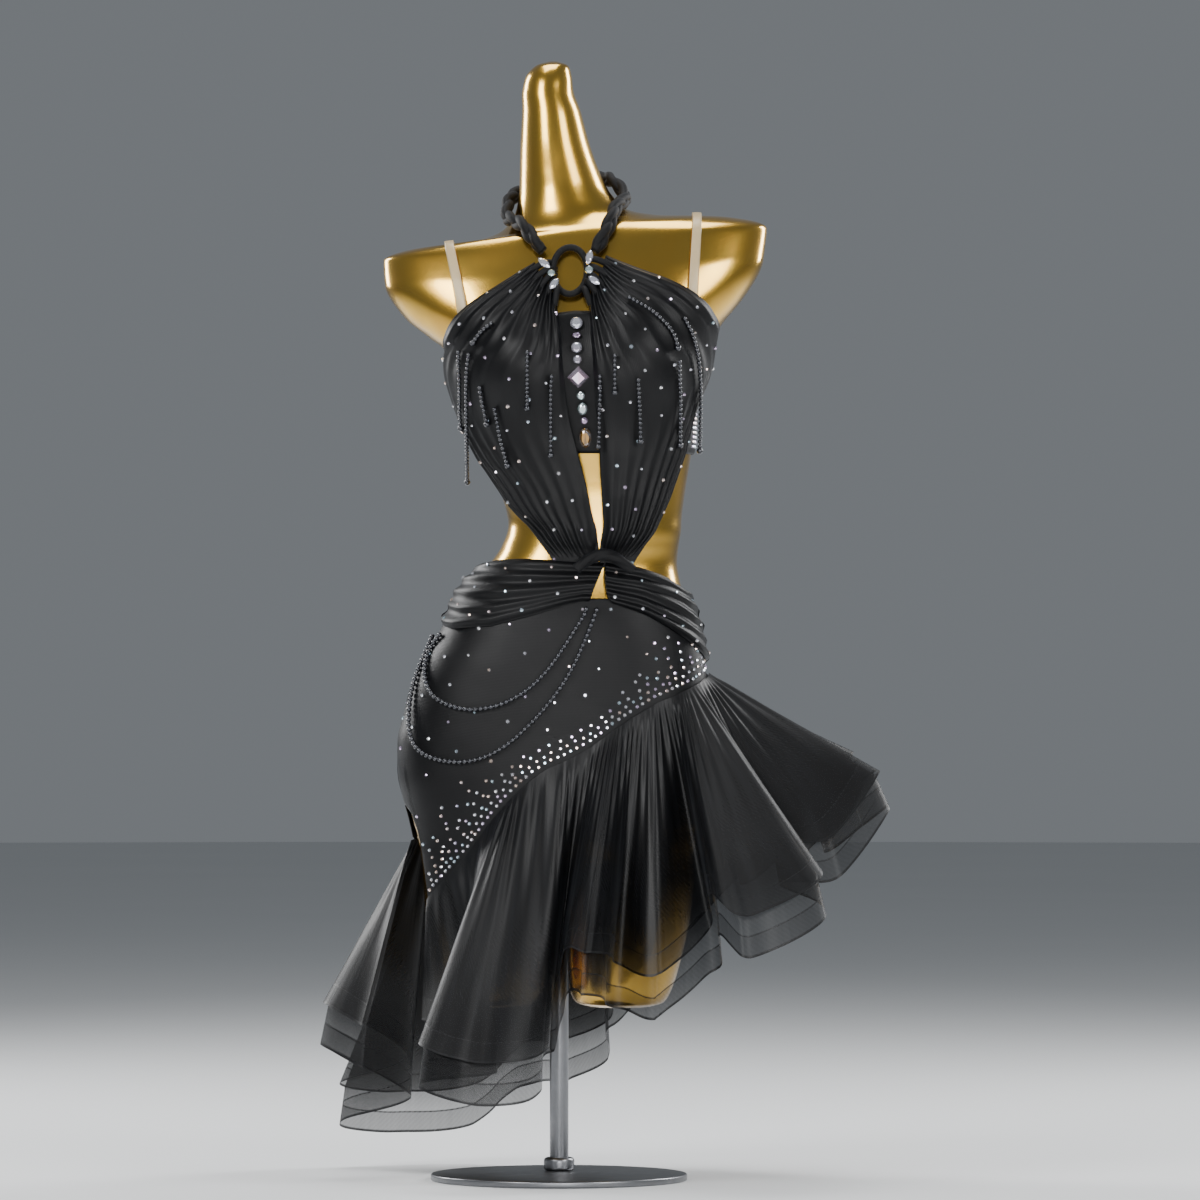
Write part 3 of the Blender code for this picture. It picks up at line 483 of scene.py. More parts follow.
def grid_normals(grid: Array) -> Array:
    """Gives the unit normals of a grid, on the side that its faces point to."""
    along, down = np.gradient(grid, axis=1), np.gradient(grid, axis=0)
    normal = np.cross(along, -down)
    return normal / np.maximum(np.linalg.norm(normal, axis=-1, keepdims=True), 1e-9)


def cloth_piece(
    name: str,
    grid: Array,
    material: bpy.types.Material,
    wall: float = 0.0,
    uv: tuple[Array, Array] | None = None,
    closed: bool = False,
) -> bpy.types.Object:
    """Makes a piece of cloth from a grid of points, with a UV map in real metres.

    Args:
        name: The piece's name.
        grid: Rows of points, top down, in the tables' millimetres.
        material: Its finish.
        wall: Thickness in millimetres, or 0 for a single sheet.
        uv: Distances along and down for each point, where they aren't the grid's own.
        closed: Whether the columns join up round the body.

    Returns:
        The piece.
    """
    rows, columns = grid.shape[:2]
    mesh = mesh_from(name, grid.reshape(-1, 3), grid_faces(rows, columns, closed))
    along, down = uv or (run_lengths(grid, 1), run_lengths(grid, 0))
    both = np.stack([along, down], axis=-1).reshape(-1, 2)
    loops = np.empty(len(mesh.loops), np.int32)
    mesh.loops.foreach_get("vertex_index", loops)
    mesh.uv_layers.new(name=CLOTH_UV).data.foreach_set("uv", both[loops].astype(np.float32).ravel())
    made = add_object(name, mesh, material)
    if wall:
        solidify = made.modifiers.new("wall", "SOLIDIFY")
        solidify.thickness = wall * MM
        solidify.offset = 0.0
    return made


def lofted(name: str, rings: Array, smooth: bool = True) -> bpy.types.Mesh:
    """Makes a closed mesh through rings of points, listed from one end to the other.

    Args:
        name: The mesh's name.
        rings: Rings of points, one row for each.
        smooth: Whether its faces are smooth.

    Returns:
        The closed mesh.
    """
    rows, columns = rings.shape[:2]
    faces: list[Sequence[int]] = list(grid_faces(rows, columns, True))
    faces.append(tuple(range(columns)))
    faces.append(tuple(range((rows - 1) * columns, rows * columns))[::-1])
    mesh = mesh_from(name, rings.reshape(-1, 3), faces, smooth)
    bm = bmesh.new()
    bm.from_mesh(mesh)
    bmesh.ops.recalc_face_normals(bm, faces=bm.faces)
    bm.to_mesh(mesh)
    bm.free()
    return mesh


def joined(name: str, meshes: Sequence[bpy.types.Mesh]) -> bpy.types.Mesh:
    """Puts several meshes together as one."""
    bm = bmesh.new()
    for mesh in meshes:
        bm.from_mesh(mesh)
    result = bpy.data.meshes.new(name)
    bm.to_mesh(result)
    bm.free()
    return result


def run_along(points: Array) -> Array:
    """Gives how far along a route each of its points lies, in the route's own unit."""
    return np.concatenate([[0], np.cumsum(np.linalg.norm(np.diff(points, axis=0), axis=1))])


def smooth_path(points: Sequence[Sequence[float]], spacing: float) -> Array:
    """Spaces points evenly along a Catmull-Rom curve through the given ones."""
    rows = np.array(points, float)
    fine = catmull(rows, np.linspace(0, len(rows) - 1, 24 * (len(rows) - 1) + 1))
    run = run_along(fine)
    wanted = np.linspace(0, run[-1], max(int(round(run[-1] / spacing)) + 1, 3))
    return np.stack([np.interp(wanted, run, fine[:, k]) for k in range(3)], axis=-1)


def path_frames(points: Array, out: Array) -> tuple[Array, Array]:
    """Finds two directions across a route at each of its points.

    Args:
        points: The route.
        out: One rough outward direction for each point.

    Returns:
        The outward direction square to the route, and the direction to its side.
    """
    tangent = np.gradient(points, axis=0)
    tangent /= np.linalg.norm(tangent, axis=-1, keepdims=True)
    outward = out - tangent * (out * tangent).sum(-1, keepdims=True)
    outward /= np.linalg.norm(outward, axis=-1, keepdims=True)
    return outward, np.cross(tangent, outward)


def swept(name: str, points: Array, out: Array, radius: Array, sides: int) -> bpy.types.Mesh:
    """Sweeps a round section along a route.

    Args:
        name: The mesh's name.
        points: The route.
        out: One rough outward direction for each point.
        radius: The radius at each point, or at each point and side.
        sides: How many sides the section has.

    Returns:
        The closed mesh.
    """
    outward, side = path_frames(points, out)
    turn = np.linspace(0, 2 * math.pi, sides, endpoint=False)
    radius = np.broadcast_to(np.asarray(radius, float).reshape(len(points), -1), (len(points), sides))
    around = np.cos(turn)[:, None] * outward[:, None] + np.sin(turn)[:, None] * side[:, None]
    return lofted(name, points[:, None] + around * radius[..., None])


def grown(
    name: str, source: bpy.types.Mesh, tree: bpy.types.NodeTree, values: dict[str, Any]
) -> bpy.types.Mesh:
    """Runs a Geometry Nodes tree on a mesh and keeps the result as a plain mesh.

    Args:
        name: The result's name.
        source: The mesh that goes in.
        tree: The node tree.
        values: Value of each of the tree's named inputs.

    Returns:
        The plain mesh.
    """
    holder = bpy.data.objects.new(name + "_source", source)
    bpy.context.scene.collection.objects.link(holder)
    modifier = holder.modifiers.new("grow", "NODES")
    modifier.node_group = tree
    for item in tree.interface.items_tree:
        if item.item_type == "SOCKET" and item.in_out == "INPUT" and item.name in values:
            modifier[item.identifier] = values[item.name]
    graph = bpy.context.evaluated_depsgraph_get()
    mesh = bpy.data.meshes.new_from_object(holder.evaluated_get(graph))
    bpy.data.objects.remove(holder, do_unlink=True)
    mesh.name = name
    return mesh


def points_mesh(name: str, points: Array, edges: Sequence[tuple[int, int]] = ()) -> bpy.types.Mesh:
    """Makes a mesh of bare points, or of a line through them."""
    mesh = bpy.data.meshes.new(name)
    mesh.from_pydata(metres(points).tolist(), list(edges), [])
    return mesh


# ---------------------------------------------------------------- finishes


@dataclass(frozen=True)
class GoldLacquer:
    """Metallic gold lacquer sprayed on glass fibre: a mirror-like coat over fine metal flake."""

    name: str = "gold_metallic_lacquer"
    colour: str = "#E6BC52"
    deep: str = "#CC9C3A"
    roughness: float = 0.2
    flow_mm: float = 38.0  # how wide the slow ripples of the sprayed coat are
    peel_scale: float = 420.0  # the coat's fine orange peel

    def make(self) -> bpy.types.Material:
        """Builds the material.

        Returns:
            The material.
        """
        material, tree, shader = new_finish(self.name)
        place = add_node(tree, "ShaderNodeTexCoord").outputs["Object"]
        flow = noise(tree, place, 1 / (self.flow_mm * MM), 2.0)
        feed(
            tree,
            shader,
            {
                "Base Color": mixed(tree, flow, linear(self.colour), linear(self.deep)),
                "Roughness": spread(tree, flow, self.roughness - 0.04, self.roughness + 0.07),
                "Normal": bumped(tree, noise(tree, place, self.peel_scale, 1.0), 0.05, 0.0004),
                "Metallic": 1.0,
                "Coat Weight": 0.6,
                "Coat Roughness": 0.06,
            },
        )
        return material


@dataclass(frozen=True)
class Jersey:
    """Black nylon and spandex jersey, knitted: soft and matt, with a faint bloom on each fold."""

    name: str
    colour: str = "#020203"
    bloom: str = "#060608"
    sheen: float = 0.03
    gloss: tuple[float, float] = (0.36, 0.52)  # least and greatest roughness
    rib_mm: float = 2.2  # a real wale is 0.5 mm, drawn coarser so that it shows
    wear_scale: float = 26.0

    def make(self) -> bpy.types.Material:
        """Builds the material.

        Returns:
            The material.
        """
        material, tree, shader = new_finish(self.name)
        cloth = add_node(tree, "ShaderNodeUVMap", uv_map=CLOTH_UV).outputs["UV"]
        place = add_node(tree, "ShaderNodeTexCoord").outputs["Object"]
        wale = add_node(
            tree,
            "ShaderNodeTexWave",
            {"Vector": cloth, "Scale": wave_scale(self.rib_mm), "Distortion": 0.6, "Detail": 1.0},
        )
        course = add_node(
            tree,
            "ShaderNodeTexWave",
            {"Vector": cloth, "Scale": wave_scale(self.rib_mm * 0.8), "Distortion": 0.6},
            bands_direction="Y",
        )
        knit = product(tree, wale.outputs["Fac"], course.outputs["Fac"])
        wear = noise(tree, place, self.wear_scale, 4.0)
        feed(
            tree,
            shader,
            {
                "Base Color": mixed(tree, wear, linear(self.colour), linear(self.bloom)),
                "Roughness": spread(tree, wear, *self.gloss),
                "Normal": bumped(tree, knit, 0.25, 0.0004),
                "Specular IOR Level": 0.24,
                "Sheen Weight": self.sheen,
                "Sheen Roughness": 0.45,
                "Sheen Tint": linear("#9AA4B4"),
            },
        )
        return material


@dataclass(frozen=True)
class Organza:
    """Black nylon organza with horsehair braid: crisp and sheer, with a dull silk gleam. The gleam is partly
    painted, as lighter streaks of colour down the cloth over its sheen.

    The cloth's UV map runs along the hem, and up from the hem, in metres. The horsehair band
    at the hem has two dark edges, and the cloth is sheerest just above it.
    """

    name: str = "organza_with_horsehair"
    colour: str = "#030304"
    # The lighter colour of the painted gleam streaks.
    gleam: str = "#0B0C0F"
    band_mm: float = 26.0
    edge_mm: float = 2.6
    seam_mm: float = 1.8
    band_cover: float = 0.68
    hem_cover: float = 0.6
    cloth_cover: float = 0.97
    streak_mm: float = 9.0
    ramp_metres: float = 0.2  # height above the hem at which the cover stops changing

    def make(self) -> bpy.types.Material:
        """Builds the material.

        Returns:
            The material.
        """
        material, tree, shader = new_finish(self.name)
        cloth = add_node(tree, "ShaderNodeUVMap", uv_map=CLOTH_UV).outputs["UV"]
        up = add_node(tree, "ShaderNodeSeparateXYZ", {"Vector": cloth}).outputs["Y"]
        share = product(tree, up, 1 / self.ramp_metres)
        band, edge, seam = (
            part * MM / self.ramp_metres for part in (self.band_mm, self.edge_mm, self.seam_mm)
        )
        cover = add_node(
            tree,
            "ShaderNodeValToRGB",
            {"Fac": share},
            stops=(
                (0.0, 0.97),
                (edge, 0.95),
                (edge + 0.004, self.band_cover),
                (band - seam, self.band_cover + 0.03),
                (band - seam + 0.003, 0.92),
                (band, 0.92),
                (band + 0.004, self.hem_cover),
                (0.42, 0.5 * (self.hem_cover + self.cloth_cover) + 0.08),
                (0.95, self.cloth_cover),
            ),
        )
        stretched = add_node(
            tree, "ShaderNodeMapping", {"Vector": cloth, "Scale": (1000 / self.streak_mm, 9.0, 1.0)}
        )
        streak = noise(tree, stretched.outputs[0], 1.0, 4.0)
        hair = add_node(
            tree,
            "ShaderNodeTexWave",
            {"Vector": cloth, "Scale": wave_scale(3.4), "Distortion": 1.2, "Detail": 1.0},
            bands_direction="DIAGONAL",
        )
        thread = spread(tree, hair.outputs["Fac"], 0.98, 1.02)
        uneven = spread(tree, streak, 0.93, 1.07)
        alpha = product(tree, cover.outputs[0], product(tree, thread, uneven), clamp=True)
        # Painted sheen: the colour lightens towards the gleam along the brighter streaks.
        painted_gleam_share = add_node(tree, "ShaderNodeMapRange", {"Value": streak, "From Min": 0.35, "From Max": 0.75})
        feed(
            tree,
            shader,
            {
                "Base Color": mixed(tree, painted_gleam_share.outputs[0], linear(self.colour), linear(self.gleam)),
                "Alpha": alpha,
                "Normal": bumped(tree, streak, 0.3, 0.0012),
                "Roughness": 0.44,
                "Specular IOR Level": 0.3,
                "Sheen Weight": 0.06,
                "Sheen Roughness": 0.35,
                "Sheen Tint": linear("#A8B0BC"),
            },
        )
        return material


@dataclass(frozen=True)
class CutGlass:
    """Foil-backed cut glass with an aurora coat: each facet shows its own tint, and on a large stone a
    painted glint, or painted shade on the amber one.
    """

    name: str
    warm: str = "#F2C9E4"
    cool: str = "#BFE6F2"
    roughness: float = 0.04

    def make(self) -> bpy.types.Material:
        """Builds the material, which reads its colour from the attribute set on each stone or crystal: a
        crystal's own tint, or a large stone's colour with painted glint on each facet, or painted shade on
        the amber stone's.

        Returns:
            The material.
        """
        material, tree, shader = new_finish(self.name)
        # The large stones' facets carry painted glint, or painted shade on the amber one, in this colour.
        tint_and_glint = add_node(tree, "ShaderNodeAttribute", attribute_name="tint_and_glint").outputs["Color"]
        coords = add_node(tree, "ShaderNodeTexCoord")
        facet = noise(tree, coords.outputs["Normal"], 3.1, 0.0)
        spot = noise(tree, coords.outputs["Object"], 90.0, 0.0)
        share = add_node(
            tree, "ShaderNodeMapRange", {"Value": facet, "From Min": 0.4, "From Max": 0.65, "To Max": 0.55}
        )
        aurora = mixed(tree, spot, linear(self.warm), linear(self.cool))
        feed(
            tree,
            shader,
            {
                "Base Color": mixed(tree, share.outputs[0], tint_and_glint, aurora),
                "Metallic": 0.8,
                "Roughness": self.roughness,
                "Coat Weight": 1.0,
                "Coat Roughness": 0.02,
            },
        )
        return material


@dataclass(frozen=True)
class Plain:
    """A coated, moulded or brushed surface whose colour and gloss vary a little.

    It serves polished jet glass beads, clear elastic, satin stand steel and the studio floor.
    """

    name: str
    colour: str
    second: str
    roughness: float
    metallic: float = 0.0
    grain_mm: float = 6.0
    bump: float = 0.1
    coat: float = 0.0
    alpha: float = 1.0

    def make(self) -> bpy.types.Material:
        """Builds the material.

        Returns:
            The material.
        """
        material, tree, shader = new_finish(self.name)
        place = add_node(tree, "ShaderNodeTexCoord").outputs["Object"]
        grain = noise(tree, place, 1 / (self.grain_mm * MM), 3.0)
        feed(
            tree,
            shader,
            {
                "Base Color": mixed(tree, grain, linear(self.colour), linear(self.second)),
                "Roughness": spread(tree, grain, self.roughness * 0.8, self.roughness * 1.25),
                "Normal": bumped(tree, grain, self.bump, 0.0003),
                "Metallic": self.metallic,
                "Coat Weight": self.coat,
                "Alpha": self.alpha,
            },
        )
        return material


@dataclass(frozen=True)
class Wardrobe:
    """Every finish of the object, made once."""

    gold: bpy.types.Material
    steel: bpy.types.Material
    jersey: bpy.types.Material
    bra: bpy.types.Material
    sash: bpy.types.Material
    yoke: bpy.types.Material
    cord: bpy.types.Material
    organza: bpy.types.Material
    jet: bpy.types.Material
    strap: bpy.types.Material
    crystal: bpy.types.Material
    stone: bpy.types.Material

    @classmethod
    def stocked(cls) -> "Wardrobe":
        """Makes every material.

        Returns:
            The stocked wardrobe.
        """
        return cls(
            gold=GoldLacquer().make(),
            steel=Plain("satin_steel", "#8C8D90", "#7C7D80", 0.34, metallic=1.0, grain_mm=14.0).make(),
            jersey=Jersey("draped_jersey").make(),
            bra=Jersey("cup_jersey").make(),
            sash=Jersey("sash_jersey").make(),
            yoke=Jersey("yoke_jersey").make(),
            cord=Jersey("braided_jersey", sheen=0.05, gloss=(0.6, 0.74)).make(),
            organza=Organza().make(),
            jet=Plain(
                "polished_jet_glass", "#1C1D22", "#2E3038", 0.11, metallic=0.6, grain_mm=9.0, coat=1.0
            ).make(),
            strap=Plain(
                "clear_elastic", "#CBB892", "#BFA981", 0.3, grain_mm=2.0, bump=0.2, alpha=0.74
            ).make(),
            crystal=CutGlass("flat_back_crystal").make(),
            stone=CutGlass("set_stone_glass", roughness=0.06).make(),
        )


# ---------------------------------------------------------------- Geometry Nodes


def new_growth(name: str, numbers: dict[str, float]) -> tuple[bpy.types.NodeTree, bpy.types.Node]:
    """Starts a geometry tree with a mesh going in, named sizes and a material.

    Args:
        name: The tree's name.
        numbers: Name and usual value of each size.

    Returns:
        The tree and its input node.
    """
    tree = bpy.data.node_groups.new(name, "GeometryNodeTree")
    tree.interface.new_socket("Geometry", in_out="INPUT", socket_type="NodeSocketGeometry")
    for label, value in numbers.items():
        made = tree.interface.new_socket(label, in_out="INPUT", socket_type="NodeSocketFloat")
        made.default_value = value
    tree.interface.new_socket("Finish", in_out="INPUT", socket_type="NodeSocketMaterial")
    tree.interface.new_socket("Geometry", in_out="OUTPUT", socket_type="NodeSocketGeometry")
    return tree, tree.nodes.new("NodeGroupInput")


def end_growth(
    tree: bpy.types.NodeTree, source: bpy.types.Node, shape: Any, smooth: bool
) -> bpy.types.NodeTree:
    """Ends a geometry tree: instances made real, smooth or faceted, with its material set.

    Args:
        tree: The tree.
        source: Its input node.
        shape: The output socket that gives the grown shape.
        smooth: Whether its faces are smooth.

    Returns:
        The finished tree.
    """
    real = add_node(tree, "GeometryNodeRealizeInstances", {0: shape})
    shaded = add_node(tree, "GeometryNodeSetShadeSmooth", {0: real.outputs[0], "Shade Smooth": smooth})
    dressed = add_node(
        tree, "GeometryNodeSetMaterial", {0: shaded.outputs[0], "Material": source.outputs["Finish"]}
    )
    add_node(tree, "NodeGroupOutput", {0: dressed.outputs[0]})
    return tree


def bead_string_tree() -> bpy.types.NodeTree:
    """Beads threaded along a line, with a larger one at its end.

    Returns:
        The tree, which takes the line and the sizes of its beads.
    """
    sizes = {"Bead": 0.004, "End Bead": 0.007, "Pitch": 0.0044, "Thread": 0.0006}
    tree, given = new_growth("bead_string", sizes)
    line = add_node(tree, "GeometryNodeMeshToCurve", {0: given.outputs["Geometry"]})
    even = add_node(
        tree,
        "GeometryNodeResampleCurve",
        {"Curve": line.outputs[0], "Length": given.outputs["Pitch"]},
        mode="LENGTH",
    )
    ball = add_node(tree, "GeometryNodeMeshUVSphere", {"Segments": 12, "Rings": 8, "Radius": 0.5})
    last = add_node(tree, "GeometryNodeCurveEndpointSelection", {"Start Size": 0, "End Size": 1})
    size = add_node(
        tree,
        "GeometryNodeSwitch",
        {"Switch": last.outputs[0], "False": given.outputs["Bead"], "True": given.outputs["End Bead"]},
        input_type="FLOAT",
    )
    beads = add_node(
        tree,
        "GeometryNodeInstanceOnPoints",
        {"Points": even.outputs[0], "Instance": ball.outputs[0], "Scale": size.outputs[0]},
    )
    section = add_node(
        tree, "GeometryNodeCurvePrimitiveCircle", {"Resolution": 6, "Radius": given.outputs["Thread"]}
    )
    thread = add_node(
        tree,
        "GeometryNodeCurveToMesh",
        {"Curve": even.outputs[0], "Profile Curve": section.outputs[0], "Fill Caps": True},
    )
    both = add_node(tree, "GeometryNodeJoinGeometry", {0: beads.outputs[0]})
    tree.links.new(thread.outputs[0], both.inputs[0])
    return end_growth(tree, given, both.outputs[0], True)


def crystal_tree() -> bpy.types.NodeTree:
    """A flat-back crystal on each point, turned to its "facing" and as wide as its "width".

    Returns:
        The tree, which takes bare points with those two attributes.
    """
    tree, given = new_growth("flat_back_crystals", {"Table Share": 0.55, "Depth Share": 0.34})
    facing = add_node(tree, "GeometryNodeInputNamedAttribute", {"Name": "facing"}, data_type="FLOAT_VECTOR")
    width = add_node(tree, "GeometryNodeInputNamedAttribute", {"Name": "width"}, data_type="FLOAT")
    half = add_node(
        tree, "ShaderNodeMath", {0: given.outputs["Table Share"], 1: 0.5}, operation="MULTIPLY"
    )
    gem = add_node(
        tree,
        "GeometryNodeMeshCone",
        {
            "Vertices": 8,
            "Radius Top": half.outputs[0],
            "Radius Bottom": 0.5,
            "Depth": given.outputs["Depth Share"],
        },
    )
    turned = add_node(
        tree, "FunctionNodeAlignRotationToVector", {"Vector": facing.outputs["Attribute"]}, axis="Z"
    )
    gems = add_node(
        tree,
        "GeometryNodeInstanceOnPoints",
        {
            "Points": given.outputs["Geometry"],
            "Instance": gem.outputs[0],
            "Rotation": turned.outputs[0],
            "Scale": width.outputs["Attribute"],
        },
    )
    return end_growth(tree, given, gems.outputs[0], False)


# ---------------------------------------------------------------- the form and its stand


class Ring(NamedTuple):
    """One level of a thigh stub."""

    z: float
    centre_x: float
    half_width: float
    depth: float


LEFT_THIGH = (
    Ring(440, -128, 54, 60),
    Ring(392, -133, 77, 78),
    Ring(344, -131, 75, 78),
    Ring(311, -131, 73, 77),
    Ring(256, -130, 69, 74),
    Ring(222, -129, 62, 69),
    Ring(208, -129, 52, 60),
    Ring(204, -129, 38, 46),
)
RIGHT_THIGH = (
    Ring(440, 32, 54, 60),
    Ring(392, 35, 77, 78),
    Ring(344, 34, 75, 78),
    Ring(311, 34, 72, 77),
    Ring(256, 28, 66, 74),
    Ring(222, 24, 59, 69),
    Ring(208, 23, 50, 60),
    Ring(204, 23, 36, 46),
)
CROTCH_ROWS = ((383, 0.93), (375, 0.78), (370, 0.52))


@dataclass
class DisplayForm:
    """The headless gold form, with stub shoulders and thighs, on a pole and a round plate."""

    body: BodyShape
    wardrobe: Wardrobe
    columns: int = 112
    torso_bottom: float = 392.0
    thigh_columns: int = 72
    socket_radius: float = 15.0
    socket_from: float = 352.0
    socket_to: float = 430.0
    pole_y: float = 56.0
    pole_radius: float = 11.0
    base_radius: float = 150.0
    base_height: float = 8.0
    gap: float = 0.3
    blend_levels: tuple[float, float] = (352.0, 412.0)
    blend_steps: int = 14
    blend_merge: float = 0.8
    collar_wider: float = 7.0
    collar_top: float = 24.0

    def torso_rings(self) -> Array:
        """Gives the torso's rings from the top of the neck to just past the crotch.

        Returns:
            One row of points for each ring.
        """
        heights = self.body.table[::-1][::3, 0]
        heights = heights[heights >= self.torso_bottom]
        angles = np.linspace(0, 360, self.columns, endpoint=False)
        rings = [self.body.surface(np.full(self.columns, z), angles) for z in heights]
        middle = rings[-1].mean(axis=0)
        last = rings[-1]
        for z, share in CROTCH_ROWS:
            ring = middle + (last - middle) * share
            ring[:, 2] = z
            rings.append(ring)
        return np.array(rings)

    def thigh_rings(self, rows: Sequence[Ring]) -> Array:
        """Gives one thigh stub's rings, from inside the torso to its rounded end."""
        turn = np.linspace(0, 2 * math.pi, self.thigh_columns, endpoint=False)
        rings = []
        for z, centre_x, half_width, depth in smooth_rows(rows, 6):
            x = centre_x + half_width * np.sin(turn)
            rings.append(np.stack([x, -depth * np.cos(turn), np.full(len(turn), z)], axis=-1))
        return np.array(rings)

    def column(self, radius: float, low: float, high: float, bevel: float, sides: int = 64) -> Array:
        """Gives the rings of a round bar or plate with its two edges rounded.

        Args:
            radius: Its radius.
            low: Height of its lower face.
            high: Height of its upper face.
            bevel: Radius of its edges.
            sides: How many sides it has.

        Returns:
            One row of points for each ring, from the top down.
        """
        turn = np.linspace(0, 2 * math.pi, sides, endpoint=False)
        profile = []
        for angle in np.radians([0, 22, 45, 68, 90]):
            profile.append((radius - bevel * (1 - math.sin(angle)), high - bevel * (1 - math.cos(angle))))
        profile += [(r, low + high - z) for r, z in reversed(profile)]
        middle_y = ORIGIN[1] if radius == self.base_radius else self.pole_y
        across, along = np.sin(turn), -np.cos(turn)
        return np.array(
            [
                np.stack([ORIGIN[0] + r * across, middle_y + r * along, np.full(sides, z)], axis=-1)
                for r, z in profile
            ]
        )

    def build_form(self) -> bpy.types.Object:
        """Joins the torso, the thigh stubs and the pole's socket into one smooth shell.

        Returns:
            The form.
        """
        form = add_object("gold_form", lofted("gold_form", self.torso_rings()), self.wardrobe.gold)
        socket = self.column(self.socket_radius, self.socket_from, self.socket_to, 1.5, 32)
        pieces = [self.thigh_rings(LEFT_THIGH), self.thigh_rings(RIGHT_THIGH), socket]
        helpers = []
        for number, rings in enumerate(pieces):
            helper = add_object(f"joined_{number}", lofted(f"joined_{number}", rings), self.wardrobe.gold)
            helpers.append(helper)
            union = form.modifiers.new(f"join_{number}", "BOOLEAN")
            union.operation = "UNION"
            union.object = helper
        graph = bpy.context.evaluated_depsgraph_get()
        mesh = bpy.data.meshes.new_from_object(form.evaluated_get(graph))
        form.modifiers.clear()
        form.data = mesh
        for helper in helpers:
            bpy.data.objects.remove(helper, do_unlink=True)
        self.soften(mesh)
        return form

    def soften(self, mesh: bpy.types.Mesh) -> None:
        """Rounds off the join between the torso and the thigh stubs.

        Args:
            mesh: The joined form's mesh, which is changed.
        """
        bm = bmesh.new()
        bm.from_mesh(mesh)
        low, high = (level * MM for level in self.blend_levels)
        near_join = [vert for vert in bm.verts if low < vert.co.z < high]
        bmesh.ops.remove_doubles(bm, verts=near_join, dist=self.blend_merge * MM)
        near_join = [vert for vert in bm.verts if low < vert.co.z < high]
        for _ in range(self.blend_steps):
            bmesh.ops.smooth_vert(bm, verts=near_join, factor=0.5, use_axis_x=True, use_axis_y=True)
        bm.to_mesh(mesh)
        bm.free()

    def build(self) -> None:
        """Builds the form, the pole with its collar, and the plate."""
        form = self.build_form()
        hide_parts("form_torso")
        foot, head = self.base_height + self.gap, self.socket_from - self.gap
        pole = lofted("pole", self.column(self.pole_radius, foot, head, 1.0))
        collar_rings = self.column(self.pole_radius + self.collar_wider, foot, self.collar_top, 4.0)
        collar = lofted("collar", collar_rings)
        stem = add_object("steel_pole", joined("steel_pole", [pole, collar]), self.wardrobe.steel)
        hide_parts("stand_pole")
        plate_mesh = lofted("base_plate", self.column(self.base_radius, 0.0, self.base_height, 2.0, 128))
        plate = add_object("base_plate", plate_mesh, self.wardrobe.steel)
        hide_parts("stand_base")
        for piece, slot in ((form, "form_gold"), (stem, "stand_steel"), (plate, "stand_steel")):
            piece.data.polygons.foreach_set("use_smooth", [True] * len(piece.data.polygons))
            piece.data.set_sharp_from_angle(angle=math.radians(50))
            finish_piece(piece)


def finish_piece(piece: bpy.types.Object) -> None:
    """Rides a piece on the one body and reports it."""
    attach(piece, "root")
    LOG.info("%s: %d faces", piece.name, len(piece.data.polygons))


# ---------------------------------------------------------------- the bodice


class Strand(NamedTuple):
    """Matching points on a panel's free outer edge and centre edge, and its pleat depth."""

    outer_x: float
    outer_z: float
    inner_x: float
    inner_z: float
    pleat: float


class Side(Enum):
    """Which side of the dress a piece is on, as the viewer sees it."""

    LEFT = "left"
    RIGHT = "right"


PANELS = {
    Side.LEFT: (
        Strand(-76, 1071, -51, 1029, 2.6),
        Strand(-105, 1051, -46, 1000, 3.4),
        Strand(-138, 1032, -44, 976, 2.8),
        Strand(-160, 1016, -43, 956, 2.4),
        Strand(-175, 997, -42, 938, 2.0),
        Strand(-184, 972, -39, 918, 1.8),
        Strand(-182, 944, -35, 886, 1.8),
        Strand(-170, 907, -28, 854, 2.0),
        Strand(-158, 879, -19, 825, 2.4),
        Strand(-134, 833, -13, 796, 3.0),
        Strand(-111, 792, -8, 766, 3.4),
        Strand(-87, 763, -2.4, 749, 3.2),
        Strand(-62, 736, -1.2, 735, 1.4),
        Strand(-54, 724, -1.0, 724, 0.2),
        Strand(-50, 716, -1.0, 716, 0.0),
    ),
    Side.RIGHT: (
        Strand(7, 1079, -12, 1028, 2.6),
        Strand(28, 1069, -12, 1000, 3.4),
        Strand(60, 1057, -10, 976, 2.8),
        Strand(98, 1044, -8, 952, 2.4),
        Strand(122, 1024, -7, 928, 2.0),
        Strand(138, 997, -5, 904, 1.8),
        Strand(139, 974, -2, 878, 1.8),
        Strand(130, 948, -1, 854, 2.0),
        Strand(117, 920, 0, 825, 2.4),
        Strand(101, 862, 2, 796, 3.0),
        Strand(90, 819, 4, 766, 3.4),
        Strand(73, 771, 0.6, 749, 3.2),
        Strand(48, 736, -0.4, 735, 1.4),
        Strand(40, 724, -0.4, 724, 0.2),
        Strand(36, 716, -0.4, 716, 0.0),
    ),
}


class Crease(NamedTuple):
    """One pleat of a panel: its place across, its width and its height at ring, bust and waist."""

    at_ring: float
    at_bust: float
    at_waist: float
    width: float
    height_ring: float
    height_bust: float
    height_waist: float


